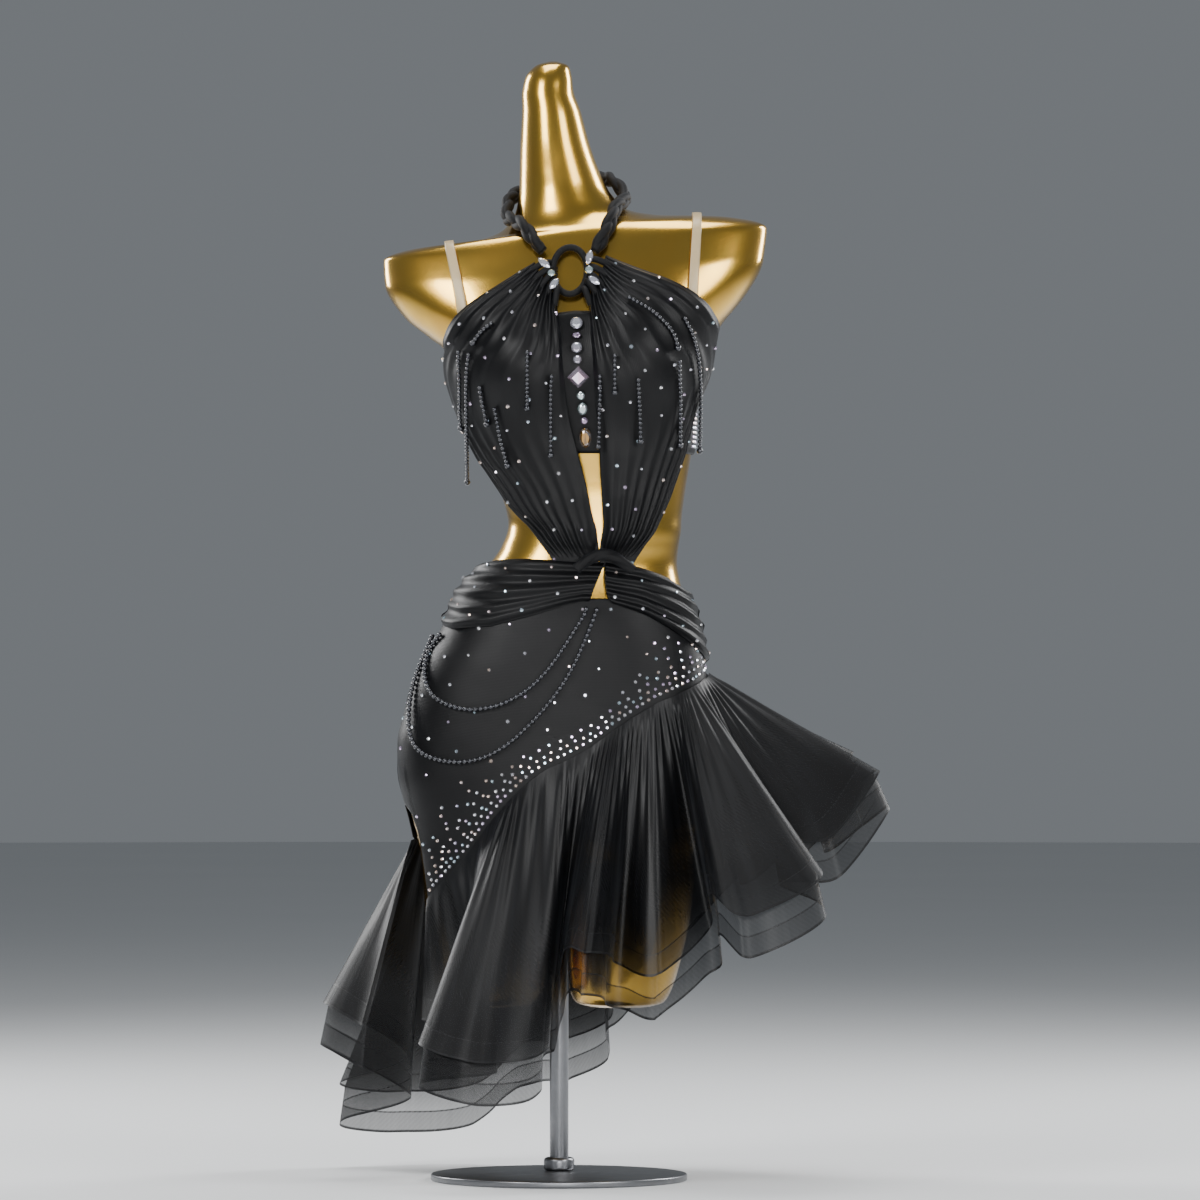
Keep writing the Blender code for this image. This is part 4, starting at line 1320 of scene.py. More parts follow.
CREASES = {
    Side.LEFT: (
        Crease(0.08, 0.07, 0.10, 0.035, 5.0, 1.6, 4.2),
        Crease(0.19, 0.17, 0.20, 0.030, 6.0, 2.4, 5.4),
        Crease(0.30, 0.27, 0.33, 0.034, 6.4, 3.2, 6.0),
        Crease(0.41, 0.38, 0.45, 0.030, 5.8, 2.0, 5.0),
        Crease(0.52, 0.50, 0.55, 0.036, 6.6, 1.8, 6.2),
        Crease(0.63, 0.62, 0.66, 0.028, 5.0, 1.5, 4.6),
        Crease(0.73, 0.75, 0.76, 0.034, 6.2, 2.6, 5.8),
        Crease(0.84, 0.86, 0.86, 0.030, 5.8, 3.6, 5.2),
        Crease(0.93, 0.95, 0.94, 0.026, 5.0, 3.4, 4.0),
    ),
    Side.RIGHT: (
        Crease(0.07, 0.08, 0.09, 0.032, 4.8, 1.8, 4.6),
        Crease(0.18, 0.18, 0.22, 0.034, 6.2, 2.6, 5.8),
        Crease(0.29, 0.30, 0.31, 0.028, 5.2, 1.6, 4.8),
        Crease(0.40, 0.41, 0.44, 0.036, 6.6, 1.4, 6.2),
        Crease(0.53, 0.54, 0.57, 0.030, 5.4, 1.6, 5.0),
        Crease(0.64, 0.66, 0.67, 0.034, 6.4, 2.2, 5.6),
        Crease(0.76, 0.78, 0.79, 0.028, 5.4, 3.0, 4.6),
        Crease(0.86, 0.88, 0.88, 0.032, 6.0, 3.8, 5.4),
        Crease(0.94, 0.96, 0.95, 0.024, 4.8, 3.4, 3.8),
    ),
}
BRA_ANGLE = (0, 30, 60, 90, 120, 180)
BRA_TOP = (1012, 1000, 972, 930, 905, 898)
STRAPS = (("clear_strap_left", -152, -176, -122), ("clear_strap_right", 104, 113, 84))


@dataclass
class Bodice:
    """The two gathered panels, the bra under them and its clear straps."""

    body: BodyShape
    wardrobe: Wardrobe
    rows_per_strand: int = 9
    columns: int = 110
    wall: float = 0.9
    edge_roll: float = 3.0
    least_lift: float = 5.6
    flat_depth: float = 0.40  # depth of the piece that each panel is cut from, in metres
    flat_share: float = 0.7  # share of that rectangle that the cut panel fills
    bra_bottom: float = 849.0
    bra_lift: float = 3.6
    strap_width: float = 10.5
    strap_lift: float = 3.2
    grids: dict[str, Array] = field(default_factory=dict)

    def panel_grid(self, side: Side) -> Array:
        """Gives the points of one panel, with its pleats gathered at the ring and the waist.

        Args:
            side: Which panel.

        Returns:
            Rows of points, from the ring down.
        """
        table = smooth_rows(PANELS[side], self.rows_per_strand)
        outer_x, outer_z, inner_x, inner_z, pleat = table.T
        outer_level, outer_angle = self.body.under_drape(outer_x, outer_z)
        inner_level, inner_angle = self.body.under_drape(inner_x, inner_z)
        across = np.linspace(0, 1, self.columns)
        level = inner_level[:, None] + (outer_level - inner_level)[:, None] * across
        angle = inner_angle[:, None] + (outer_angle - inner_angle)[:, None] * across
        down = np.linspace(0, 1, len(table))[:, None]
        ring_share, waist_share = ease(1 - down / 0.42), ease((down - 0.42) / 0.44)
        lift = self.body.drape_lift(level, angle) + 0.25 * pleat[:, None]
        for crease in CREASES[side]:
            middle = (
                crease.at_bust
                + (crease.at_ring - crease.at_bust) * ring_share
                + (crease.at_waist - crease.at_bust) * waist_share
            )
            height = (
                crease.height_bust
                + (crease.height_ring - crease.height_bust) * ring_share
                + (crease.height_waist - crease.height_bust) * waist_share
            )
            height = height * np.clip((pleat[:, None] + 0.4) / 2.4, 0, 1)
            width = crease.width * (1 + 0.6 * (1 - ring_share) * (1 - waist_share))
            offset = (across - middle) / width
            lift = lift + height * 0.8 * np.exp(-(np.abs(offset) ** 1.6))
        edge = np.minimum(across, 1 - across) * np.maximum(np.abs(outer_x - inner_x), 40)[:, None]
        lift = lift - self.edge_roll * (1 - ease(edge / 7.0)) * np.clip(pleat[:, None] / 1.5, 0, 1)
        points = self.body.lifted(level, angle, np.maximum(lift, self.least_lift))
        return points if side is Side.RIGHT else points[:, ::-1]

    def build_panels(self) -> None:
        """Builds both panels."""
        for side, width in ((Side.LEFT, 0.24), (Side.RIGHT, 0.22)):
            name = f"panel_{side.value}"
            grid = self.panel_grid(side)
            self.grids[name] = grid
            piece = cloth_piece(name, grid, self.wardrobe.jersey, self.wall)
            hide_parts(f"bodice_panel_{side.value}")
            finish_piece(piece)

    def build_bra(self) -> None:
        """Builds the band, with its cups and a turned edge all round."""
        angle = np.linspace(-90, 270, 220, endpoint=False)
        top = np.interp(np.minimum(np.abs(angle), 360 - angle), BRA_ANGLE, BRA_TOP)
        down = np.linspace(0, 1, 44)[:, None]
        level = top * (1 - down) + self.bra_bottom * down
        edge = np.minimum(down, 1 - down) * (top - self.bra_bottom)
        lift = self.bra_lift - 0.8 * (1 - ease(edge / 3.5)) + 0.35 * np.exp(-(((edge - 7.0) / 1.2) ** 2))
        grid = self.body.lifted(level, np.broadcast_to(angle, level.shape), lift)
        self.grids["bra"] = grid
        piece = cloth_piece("moulded_bra", grid, self.wardrobe.bra, self.wall, closed=True)
        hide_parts("bra_band")
        finish_piece(piece)

    def highest_at(self, x: float) -> float:
        """Gives the level at which the shoulder line closes over x."""
        levels = np.linspace(1124, 1060, 400)
        centre_x, _, half_width, _, _, _ = self.body.section(levels)
        return float(levels[np.argmax(half_width >= abs(x - centre_x))])

    def strap_foot(self, x: float, in_front: bool) -> float:
        """Gives the level just above the bra's upper edge, below x."""
        level = 960.0 if in_front else 905.0
        for _ in range(12):
            angle = abs(float(self.body.angle_at(x, level)))
            angle = angle if in_front else 180 - angle
            level = float(np.interp(angle, BRA_ANGLE, BRA_TOP)) + 2.5
        return level

    def build_straps(self) -> None:
        """Builds the clear straps, which run from the bra over the shoulders to its back."""
        for name, front_x, top_x, back_x in STRAPS:
            paths = []
            for across in np.linspace(-0.5, 0.5, 7):
                top_z = self.highest_at(top_x + across * self.strap_width)
                strand = []
                for start_x, in_front in ((front_x, True), (back_x, False)):
                    rise = np.sin(np.linspace(0, math.pi / 2, 60))
                    x = start_x + (top_x - start_x) * rise + across * self.strap_width
                    bottom = self.strap_foot(x[0], in_front)
                    level = bottom + (top_z - bottom) * rise
                    angle = self.body.angle_at(x, level)
                    strand.append((level, angle if in_front else 180 - angle))
                level = np.concatenate([strand[0][0], strand[1][0][-2::-1]])
                angle = np.concatenate([strand[0][1], strand[1][1][-2::-1]])
                crown = 0.3 * (1 - (2 * across) ** 2)
                paths.append(self.body.lifted(level, angle, self.strap_lift + crown))
            piece = cloth_piece(name + "_elastic", np.array(paths), self.wardrobe.strap, 0.8)
            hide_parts(name)
            finish_piece(piece)

    def build(self) -> None:
        """Builds the whole bodice."""
        self.build_bra()
        self.build_straps()
        self.build_panels()


# ---------------------------------------------------------------- the halter


BRAID_LEFT = ((-66, 1079), (-76, 1091), (-88, 1104), (-100, 1119), (-107, 1138))
BRAID_RIGHT = ((22, 1142), (17, 1126), (11, 1110), (3, 1094), (-6, 1079))
BRAID_BACK_Z = ((-100, 1152), (-130, 1162), (-180, 1168), (130, 1166), (98, 1157))
# Where each gather starts inside the ring and where it ends on the panel, on both sides.
LOOPS = {
    "left": (
        ((-51, 1069), (-51, 1062), (-51, 1055), (-50, 1048), (-48, 1041)),
        ((-84, 1054), (-78, 1044), (-70, 1035), (-62, 1026), (-53, 1015)),
    ),
    "right": (
        ((-18, 1072), (-17, 1064), (-17, 1056), (-18, 1048), (-20, 1040)),
        ((16, 1061), (12, 1048), (6, 1037), (-2, 1027), (-10, 1016)),
    ),
}


@dataclass
class Halter:
    """The braided neck cord and the bound ring that it and the panels meet at."""

    body: BodyShape
    wardrobe: Wardrobe
    braid_lift: float = 10.8
    strand_radius: float = 5.5
    swing: float = 3.8
    dip: float = 1.8
    pitch: float = 86.0
    ring_x: float = -34.5
    ring_z: float = 1057.0
    ring_lift: float = 8.0
    ring_half_width: float = 20.0
    ring_half_height: float = 29.5
    ring_tube: float = 4.0
    loop_lift: float = 14.2

    def build_braid(self) -> None:
        """Builds the three strands that cross over each other round the neck."""
        left, right = (
            self.body.lifted(*self.body.place(*np.array(route, float).T), self.braid_lift)
            for route in (BRAID_LEFT, BRAID_RIGHT)
        )
        back = np.array([self.body.lifted(z, angle, self.braid_lift) for angle, z in BRAID_BACK_Z])
        path = smooth_path([*left, *back, *right], 2.4)
        middle = path.mean(axis=0)
        out = path - middle
        outward, side = path_frames(path, out)
        run = run_along(path)
        ends = ease(np.minimum(run, run[-1] - run) / 14.0)[:, None]
        strands = []
        for number in range(3):
            phase = 2 * math.pi * (run / self.pitch + number / 3)[:, None]
            offset = side * np.sin(phase) * self.swing + outward * np.sin(2 * phase) * self.dip
            centre = path + offset * (0.45 + 0.55 * ends)
            radius = self.strand_radius * (0.8 + 0.2 * ends[:, 0])
            strands.append(swept(f"strand_{number}", centre, outward, radius, 14))
        piece = add_object("neck_braid", joined("neck_braid", strands), self.wardrobe.cord)
        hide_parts("halter_braid")
        finish_piece(piece)

    def build_ring(self) -> None:
        """Builds the ring, with the turns of the jersey strip that binds it."""
        centre, out, up, side = self.body.frame(self.ring_x, self.ring_z, self.ring_lift)
        around = np.linspace(0, 2 * math.pi, 220, endpoint=False)[:, None]
        turn = np.linspace(0, 2 * math.pi, 18, endpoint=False)[None]
        wrap = 0.35 * np.abs(np.sin(13 * around + 0.5 * turn)) ** 0.5
        tube = (self.ring_tube - 0.3 + wrap) * np.cos(turn)
        height = (self.ring_tube - 0.3 + wrap) * np.sin(turn)
        across = (np.cos(around) * (self.ring_half_width + tube))[..., None]
        upright = (np.sin(around) * (self.ring_half_height + tube))[..., None]
        points = centre + side * across + up * upright + out * height[..., None]
        rows, columns = points.shape[:2]
        faces = [
            (i * columns + j, ((i + 1) % rows) * columns + j, ((i + 1) % rows) * columns + k, i * columns + k)
            for i in range(rows)
            for j, k in ((j, (j + 1) % columns) for j in range(columns))
        ]
        mesh = mesh_from("bound_ring", points.reshape(-1, 3), faces)
        piece = add_object("bound_ring", mesh, self.wardrobe.cord)
        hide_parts("halter_ring")
        finish_piece(piece)

    def build_loops(self) -> None:
        """Builds the gathers that loop each panel's top over its side of the ring."""
        for side, (starts, ends) in LOOPS.items():
            folds = []
            for number, (start, end) in enumerate(zip(starts, ends)):
                route = [np.array(start) + (np.array(end) - start) * t for t in (0.0, 0.35, 0.7, 1.0)]
                lifts = (2.0, self.loop_lift, self.loop_lift - 1.5, 8.6)
                points = [
                    self.body.lifted(*self.body.place(x, z), lift) for (x, z), lift in zip(route, lifts)
                ]
                path = smooth_path(points, 1.0)
                run = np.linspace(0, 1, len(path))
                out = np.tile([0.0, -1.0, 0.3], (len(path), 1))
                radius = (3.4 + 0.3 * (number % 2)) * (0.82 + 0.3 * np.sin(math.pi * run * 0.8))
                folds.append(swept(f"loop_{side}_{number}", path, out, radius, 12))
            piece = add_object(f"gathers_{side}", joined(f"gathers_{side}", folds), self.wardrobe.cord)
            finish_piece(piece)

    def build(self) -> None:
        """Builds the braid, the ring and the gathers over it."""
        self.build_braid()
        self.build_ring()
        self.build_loops()


# ---------------------------------------------------------------- the sash and the yoke


SASH_ANGLE = (-92, -60, -35, -15, 4, 18, 35, 55, 72, 92, 140, 180, 220, 268)
SASH_TOP = (712, 722, 725, 724, 721, 722, 715, 704, 690, 683, 700, 712, 715, 712)
SASH_BOTTOM = (649, 643, 647, 660, 676, 675, 660, 637, 620, 604, 622, 640, 648, 649)
TWIST = ((-28, 714), (-14, 725), (3, 731), (20, 726), (38, 713))
FRONT_SEAM_ANGLE = (-90, -81, -74, -70.5, -67, -61, -47, -36, -25, -15, -8, 0, 10, 18, 26, 37, 54, 72, 90)
FRONT_SEAM_Z = (440, 440, 432, 408, 333, 341, 362, 385, 417, 446, 466, 489, 510, 530, 546, 562, 576, 587, 596)
BACK_SEAM_ANGLE = (90, 120, 150, 180, 210, 240, 262, 270)
BACK_SEAM_Z = (596, 568, 520, 464, 424, 406, 402, 402)
SEAM_ANGLE, SEAM_Z = FRONT_SEAM_ANGLE + BACK_SEAM_ANGLE[1:], FRONT_SEAM_Z + BACK_SEAM_Z[1:]


class Ridge(NamedTuple):
    """One fold of the sash: its place down the sash at each end, its width and its height."""

    at_start: float
    at_end: float
    width: float
    height: float


SASH_RIDGES = {
    "sash_left": (
        Ridge(0.05, 0.12, 0.085, 4.2),
        Ridge(0.24, 0.34, 0.080, 5.6),
        Ridge(0.47, 0.55, 0.095, 6.4),
        Ridge(0.68, 0.74, 0.075, 5.0),
        Ridge(0.91, 0.92, 0.080, 5.6),
    ),
    "sash_right": (
        Ridge(0.10, 0.06, 0.080, 4.4),
        Ridge(0.34, 0.24, 0.085, 6.0),
        Ridge(0.54, 0.46, 0.090, 6.2),
        Ridge(0.76, 0.70, 0.075, 5.4),
        Ridge(0.93, 0.92, 0.080, 5.4),
    ),
    "sash_back": (
        Ridge(0.06, 0.06, 0.085, 4.4),
        Ridge(0.24, 0.26, 0.090, 5.8),
        Ridge(0.48, 0.46, 0.090, 6.0),
        Ridge(0.70, 0.69, 0.080, 5.2),
        Ridge(0.92, 0.91, 0.080, 5.6),
    ),
}
# Degrees by which each sash end leans over the keyhole, from its top edge down.
KEYHOLE_LEAN = {"sash_left": (1.4, 1.2, -1.0, -1.9), "sash_right": (-8.2, -7.6, -4.6, -2.2)}
# Name, first and last angle, columns and flat width in metres of each sash piece.
SASH_PIECES = (
    ("sash_left", -92.0, 8.0, 130, 0.20),
    ("sash_right", 18.0, 92.0, 110, 0.15),
    ("sash_back", 92.0, 268.0, 170, 0.34),
)


@dataclass
class Hips:
    """The folded hip sash with its knot, and the close yoke below it."""

    body: BodyShape
    wardrobe: Wardrobe
    seam_gap: float = 0.15
    sash_lift: float = 7.6
    sash_range: tuple[float, float] = (5.6, 13.6)  # least and greatest lift of a sash fold
    sash_depth: float = 0.11  # depth of the piece that each sash is cut from, in metres
    sash_share: float = 0.85
    yoke_flat: tuple[float, float] = (0.30, 0.36)
    yoke_share: float = 0.8
    wall: float = 1.0
    yoke_top: float = 680.0
    yoke_lift: float = 3.9
    tuck: float = 6.0  # how far the yoke runs down behind the flounce's seam
    twist_radius: float = 6.5
    twist_lift: float = 22.5
    grids: dict[str, Array] = field(default_factory=dict)

    def sash_grid(self, name: str, start: float, end: float, columns: int) -> Array:
        """Gives the points of one sash piece, with its folds fanning out from the knot.

        Args:
            name: The piece.
            start: Angle of its first end.
            end: Angle of its other end.
            columns: How many columns of points it has.

        Returns:
            Rows of points, from its top edge down.
        """
        down = np.linspace(0, 1, 72)[:, None]
        angle = np.linspace(start + self.seam_gap, end - self.seam_gap, columns)
        along = np.linspace(0, 1, columns)[None]
        top, bottom = np.interp(angle, SASH_ANGLE, SASH_TOP), np.interp(angle, SASH_ANGLE, SASH_BOTTOM)
        level = top * (1 - down) + bottom * down
        near_end = {"sash_left": ease((along - 0.8) / 0.2), "sash_right": ease((0.2 - along) / 0.2)}
        lean = np.interp(down, (0.0, 0.2, 0.8, 1.0), KEYHOLE_LEAN.get(name, (0.0,) * 4))
        angle = angle + lean * near_end.get(name, 0.0)
        lift = np.full(level.shape, self.sash_lift - 1.6)
        for number, ridge in enumerate(SASH_RIDGES[name]):
            middle = ridge.at_start + (ridge.at_end - ridge.at_start) * along
            middle = middle + 0.02 * np.sin(5.0 * along + 1.7 * number)
            offset = (down - middle) / ridge.width
            # Each fold leans down: its lower side falls away more sharply than its upper one.
            sharp = np.where(offset > 0, 1.35, 0.8)
            uneven = 0.86 + 0.14 * np.sin(9 * along + number)
            lift = lift + ridge.height * np.exp(-(np.abs(offset * sharp) ** 1.8)) * uneven
        edge = np.minimum(down, 1 - down)
        lift = lift - 2.4 * (1 - ease(edge / 0.05))
        lift = np.clip(lift, *self.sash_range)
        return self.body.lifted(level, np.broadcast_to(angle, level.shape), lift)

    def build_sash(self) -> None:
        """Builds the three sash pieces."""
        for name, start, end, columns, width in SASH_PIECES:
            grid = self.sash_grid(name, start, end, columns)
            self.grids[name] = grid
            piece = cloth_piece(name + "_folds", grid, self.wardrobe.sash, self.wall)
            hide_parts(name)
            finish_piece(piece)

    def build_twist(self) -> None:
        """Builds the twisted knot that the panels and the sash pass through."""
        path = smooth_path(self.body.over(TWIST, self.twist_lift), 1.2)
        run = np.linspace(0, 1, len(path))
        turn = np.linspace(0, 2 * math.pi, 28, endpoint=False)
        groove = 1 - 0.17 * np.abs(np.cos(1.5 * turn[None] + 6.5 * run[:, None])) ** 6
        swell = (0.94 + 0.16 * np.sin(math.pi * run))[:, None]
        out = np.tile([0.0, -1.0, 0.2], (len(path), 1))
        mesh = swept("waist_knot", path, out, self.twist_radius * groove * swell, len(turn))
        piece = add_object("waist_knot", mesh, self.wardrobe.cord)
        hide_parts("waist_twist")
        finish_piece(piece)

    def build_yoke(self) -> None:
        """Builds the yoke's front and back down to the slanting seam."""
        shapes = (
            ("yoke_front", -90, 90, FRONT_SEAM_ANGLE, FRONT_SEAM_Z, 180),
            ("yoke_back", 90, 270, BACK_SEAM_ANGLE, BACK_SEAM_Z, 150),
        )
        down = np.linspace(0, 1, 90)[:, None]
        for name, start, end, angles, heights, columns in shapes:
            angle = np.linspace(start + self.seam_gap, end - self.seam_gap, columns)
            tucked = self.tuck * ease((angle + 72) / 6) * ease((266 - angle) / 6)
            bottom = np.interp(angle, angles, heights) - tucked
            level = self.yoke_top * (1 - down) + bottom * down
            inside = ease(down * 4) * ease((1 - down) * 4)
            pull = 0.5 * np.sin(level / 17 + angle / 13) * np.sin(angle / 29 + 1) * inside
            lift = self.yoke_lift + np.clip(pull, -0.45, 0.6)
            grid = self.body.lifted(level, np.broadcast_to(angle, level.shape), lift)
            self.grids[name] = grid
            piece = cloth_piece(name + "_jersey", grid, self.wardrobe.yoke, self.wall)
            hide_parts(name)
            finish_piece(piece)

    def build(self) -> None:
        """Builds the yoke, the sash over it and the knot."""
        self.build_yoke()
        self.build_sash()
        self.build_twist()


# ---------------------------------------------------------------- the flounces


class Fold(NamedTuple):
    """One crest or trough: the angle where it starts at the seam, and its point at the hem."""

    name: str
    seam: float
    x: float
    y: float
    z: float


FOLDS = (
    Fold("slit edge, front", -66, -206, -90, 192),
    Fold("behind A", -38, -128, -128, 182),
    Fold("A left", -16, -208, -205, 172),
    Fold("A lip", -9, -140, -262, 152),
    Fold("A right", 2, -66, -226, 160),
    Fold("trough AB", 9, -56, -145, 205),
    Fold("B left", 15, -40, -208, 276),
    Fold("B lip", 19, -18, -238, 276),
    Fold("B right", 23, 8, -200, 272),
    Fold("trough BC", 28, 22, -140, 258),
    Fold("C lip", 35, 66, -180, 248),
    Fold("trough CD", 41, 128, -108, 300),
    Fold("D left", 49, 126, -202, 342),
    Fold("D lip", 54, 168, -250, 318),
    Fold("D right", 61, 256, -186, 363),
    Fold("trough DE", 70, 206, -104, 398),
    Fold("E lip", 78, 268, -96, 404),
    Fold("E", 86, 326, -22, 478),
    Fold("side seam", 91, 296, 20, 458),
    Fold("trough EF", 97, 258, 60, 430),
    Fold("F", 104, 300, 112, 500),
    Fold("trough FG", 112, 230, 150, 420),
    Fold("G", 121, 236, 190, 450),
    Fold("trough GH", 131, 170, 186, 388),
    Fold("H", 140, 167, 250, 404),
    Fold("trough HI", 150, 96, 196, 330),
    Fold("I", 158, 92, 284, 300),
    Fold("trough IJ", 168, 18, 200, 226),
    Fold("J", 176, 12, 262, 176),
    Fold("J lip", 186, -46, 296, 148),
    Fold("trough JK", 197, -90, 196, 150),
    Fold("K lip", 208, -150, 290, 96),
    Fold("K left", 219, -246, 270, 88),
    Fold("K", 230, -310, 206, 102),
    Fold("trough KL", 241, -228, 132, 140),
    Fold("L", 254, -324, 34, 206),
    Fold("slit edge, back", 266, -278, -46, 184),
)


@dataclass
class Flounces:
    """Two plies of sheer, fluted organza in front and two behind, with a stiff hem band."""

    body: BodyShape
    wardrobe: Wardrobe
    side_seam: int = 18
    joint_half: float = 0.006
    steps_per_fold: int = 16
    rows: int = 46
    lift: float = 7.5
    seam_drop: float = 3.0
    under_length: float = 50.0
    under_down_share: float = 0.6
    gap_seam: float = 3.4
    gap_hem: float = 7.0
    seam_blend: float = 0.35
    nudge: float = 0.02
    gather: float = 1.5
    gathers_per_fold: float = 2.6

    def points(self, steps: Array, t: Array) -> tuple[Array, Array]:
        """Gives points of the flounce and the body's normal behind them.

        Args:
            steps: How many folds along.
            t: 0 at the seam, 1 at the upper hem, and on to 2 at the under ply's hem.

        Returns:
            The points and the normals.
        """
        table = np.array([fold[1:] for fold in FOLDS], float)
        angle = np.interp(steps, np.arange(len(table)), table[:, 0])
        seam_z = np.interp(angle, SEAM_ANGLE, SEAM_Z) - self.seam_drop
        seam = self.body.lifted(seam_z, angle, self.lift)
        drop = catmull(table[:, 1:], steps) - seam
        length = np.linalg.norm(drop, axis=-1, keepdims=True)
        straight_down = np.array([0.0, 0.0, -1.0])
        above, below = np.clip(t, 0, 1)[..., None], np.clip(t - 1, 0, 1)[..., None]
        longer = self.under_length * below * (
            drop / length * (1 - self.under_down_share) + straight_down * self.under_down_share
        )
        return seam + drop * above + longer, self.body.normal(seam_z, angle)

    def ply(self, steps: Array, rows: Array, gap_seam: float, gap_hem: float) -> Array:
        """Gives the grid of one ply, with the fine gathers that run out below the seam.

        Args:
            steps: Where its columns lie, in folds along.
            rows: Where its rows lie, as for points.
            gap_seam: How far it lies inside the outer ply at the seam.
            gap_hem: The same at the hem.

        Returns:
            Rows of points, from the seam down.
        """
        t, steps = np.meshgrid(rows, steps, indexing="ij")
        points, body_normal = self.points(steps, t)
        last = len(FOLDS) - 1
        before, after = np.clip(steps - self.nudge, 0, last), np.clip(steps + self.nudge, 0, last)
        across = self.points(after, t)[0] - self.points(before, t)[0]
        upwards = self.points(steps, t - self.nudge)[0] - self.points(steps, t + self.nudge)[0]
        normal = np.cross(across, upwards)
        normal /= np.linalg.norm(normal, axis=-1, keepdims=True)
        blend = np.clip(t / self.seam_blend, 0, 1)[..., None]
        normal = body_normal * (1 - blend) + normal * blend
        normal /= np.linalg.norm(normal, axis=-1, keepdims=True)
        wander = 1.3 * np.sin(1.9 * steps) + 0.8 * np.sin(4.3 * steps + 1)
        pucker = np.sin(2 * math.pi * self.gathers_per_fold * steps + wander)
        depth = self.gather * ease(t * 9) * np.clip(1 - t / 0.75, 0, 1) ** 1.3
        ripple = 1.1 * np.sin(2 * math.pi * 0.9 * steps + 2 * wander) * ease((t - 0.55) / 0.4)
        inward = gap_seam + (gap_hem - gap_seam) * np.clip(t, 0, 1)
        return points - normal * (inward - pucker * depth - ripple)[..., None]

    def build_ply(
        self, name: str, steps: Array, is_under: bool
    ) -> None:
        """Builds one ply, with its UV map measured along and up from its own hem.

        Args:
            name: The ply's name.
            steps: Where its columns lie, in folds along.
            is_under: Whether it is the longer ply underneath.
        """
        rows = np.linspace(0, 1, self.rows)
        if is_under:
            rows = np.concatenate([rows, np.linspace(1.12, 2, 9)])
        gaps = (self.gap_seam, self.gap_hem) if is_under else (0.0, 0.0)
        grid = self.ply(steps, rows, *gaps)
        down = run_lengths(grid, 0)
        along = np.broadcast_to(run_lengths(grid[-1:], 1), down.shape)
        piece = cloth_piece(name + "_organza", grid, self.wardrobe.organza, uv=(along, down[-1:] - down))
        measured = float(sum(face.area for face in piece.data.polygons))
        LOG.info("%s: hem %.2f m, depth %.3f m, area %.3f m2", name, along[-1, -1], down[-1].mean(), measured)
        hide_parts(name)
        finish_piece(piece)

    def build(self) -> None:
        """Builds the four plies."""
        last = len(FOLDS) - 1
        front_end, back_start = self.side_seam - self.joint_half, self.side_seam + self.joint_half
        for name, start, end, upper, under in (
            ("flounce_front", 0.0, front_end, (1.6, 0.34, 0.275), (1.7, 0.39, 0.34)),
            ("flounce_back", back_start, float(last), (1.9, 0.36, 0.32), (2.0, 0.41, 0.41)),
        ):
            steps = np.linspace(start, end, round(end - start) * self.steps_per_fold + 1)
            self.build_ply(name + "_upper", steps, False)
            self.build_ply(name + "_under", steps, True)


# ---------------------------------------------------------------- beads


FRINGES = (
    ((-164, 966), (-164, 950), (-163, 932), (-163, 914), (-163, 896), (-162, 878)),
    ((-152, 962), (-154, 945), (-155, 920), (-155, 893), (-155, 868), (-155, 842), (-155, 816)),
    ((-126, 998), (-138, 988), (-147, 976)),
    ((-139, 924), (-137, 910), (-134, 896), (-131, 882)),
    ((-122, 899), (-119, 884), (-116, 868), (-112, 852), (-107, 834)),
    ((-84, 964), (-84, 946), (-84, 928), (-84, 900)),
    ((-56, 936), (-57, 916), (-57, 896), (-57, 872), (-57, 846)),
    ((0, 936), (0, 914), (-1, 892), (-1, 872), (-2, 856)),
    ((17, 960), (17, 944), (17, 918)),
    ((44, 932), (45, 912), (46, 890), (47, 862)),
    ((34, 1028), (58, 1014), (76, 998), (86, 984), (90, 970)),
    ((92, 954), (92, 936), (93, 914), (93, 890), (93, 858)),
    ((98, 1004), (107, 986), (113, 964), (116, 940), (117, 918), (117, 896), (116, 852)),
)
SWAGS = (
    (
        (-187, 638), (-197, 624), (-203, 608), (-204, 590), (-198, 573), (-186, 562), (-166, 554),
        (-144, 552), (-118, 557), (-96, 567), (-78, 580), (-63, 595), (-50, 612), (-38, 630),
        (-28, 646), (-19, 660), (-16, 668),
    ),
    (
        (-196, 636), (-206, 612), (-216, 586), (-222, 556), (-222, 528), (-214, 508), (-196, 496),
        (-166, 491), (-136, 496), (-108, 511), (-83, 533), (-62, 556), (-44, 580), (-30, 604),
        (-20, 626), (-11, 648), (-4, 667),
    ),
)


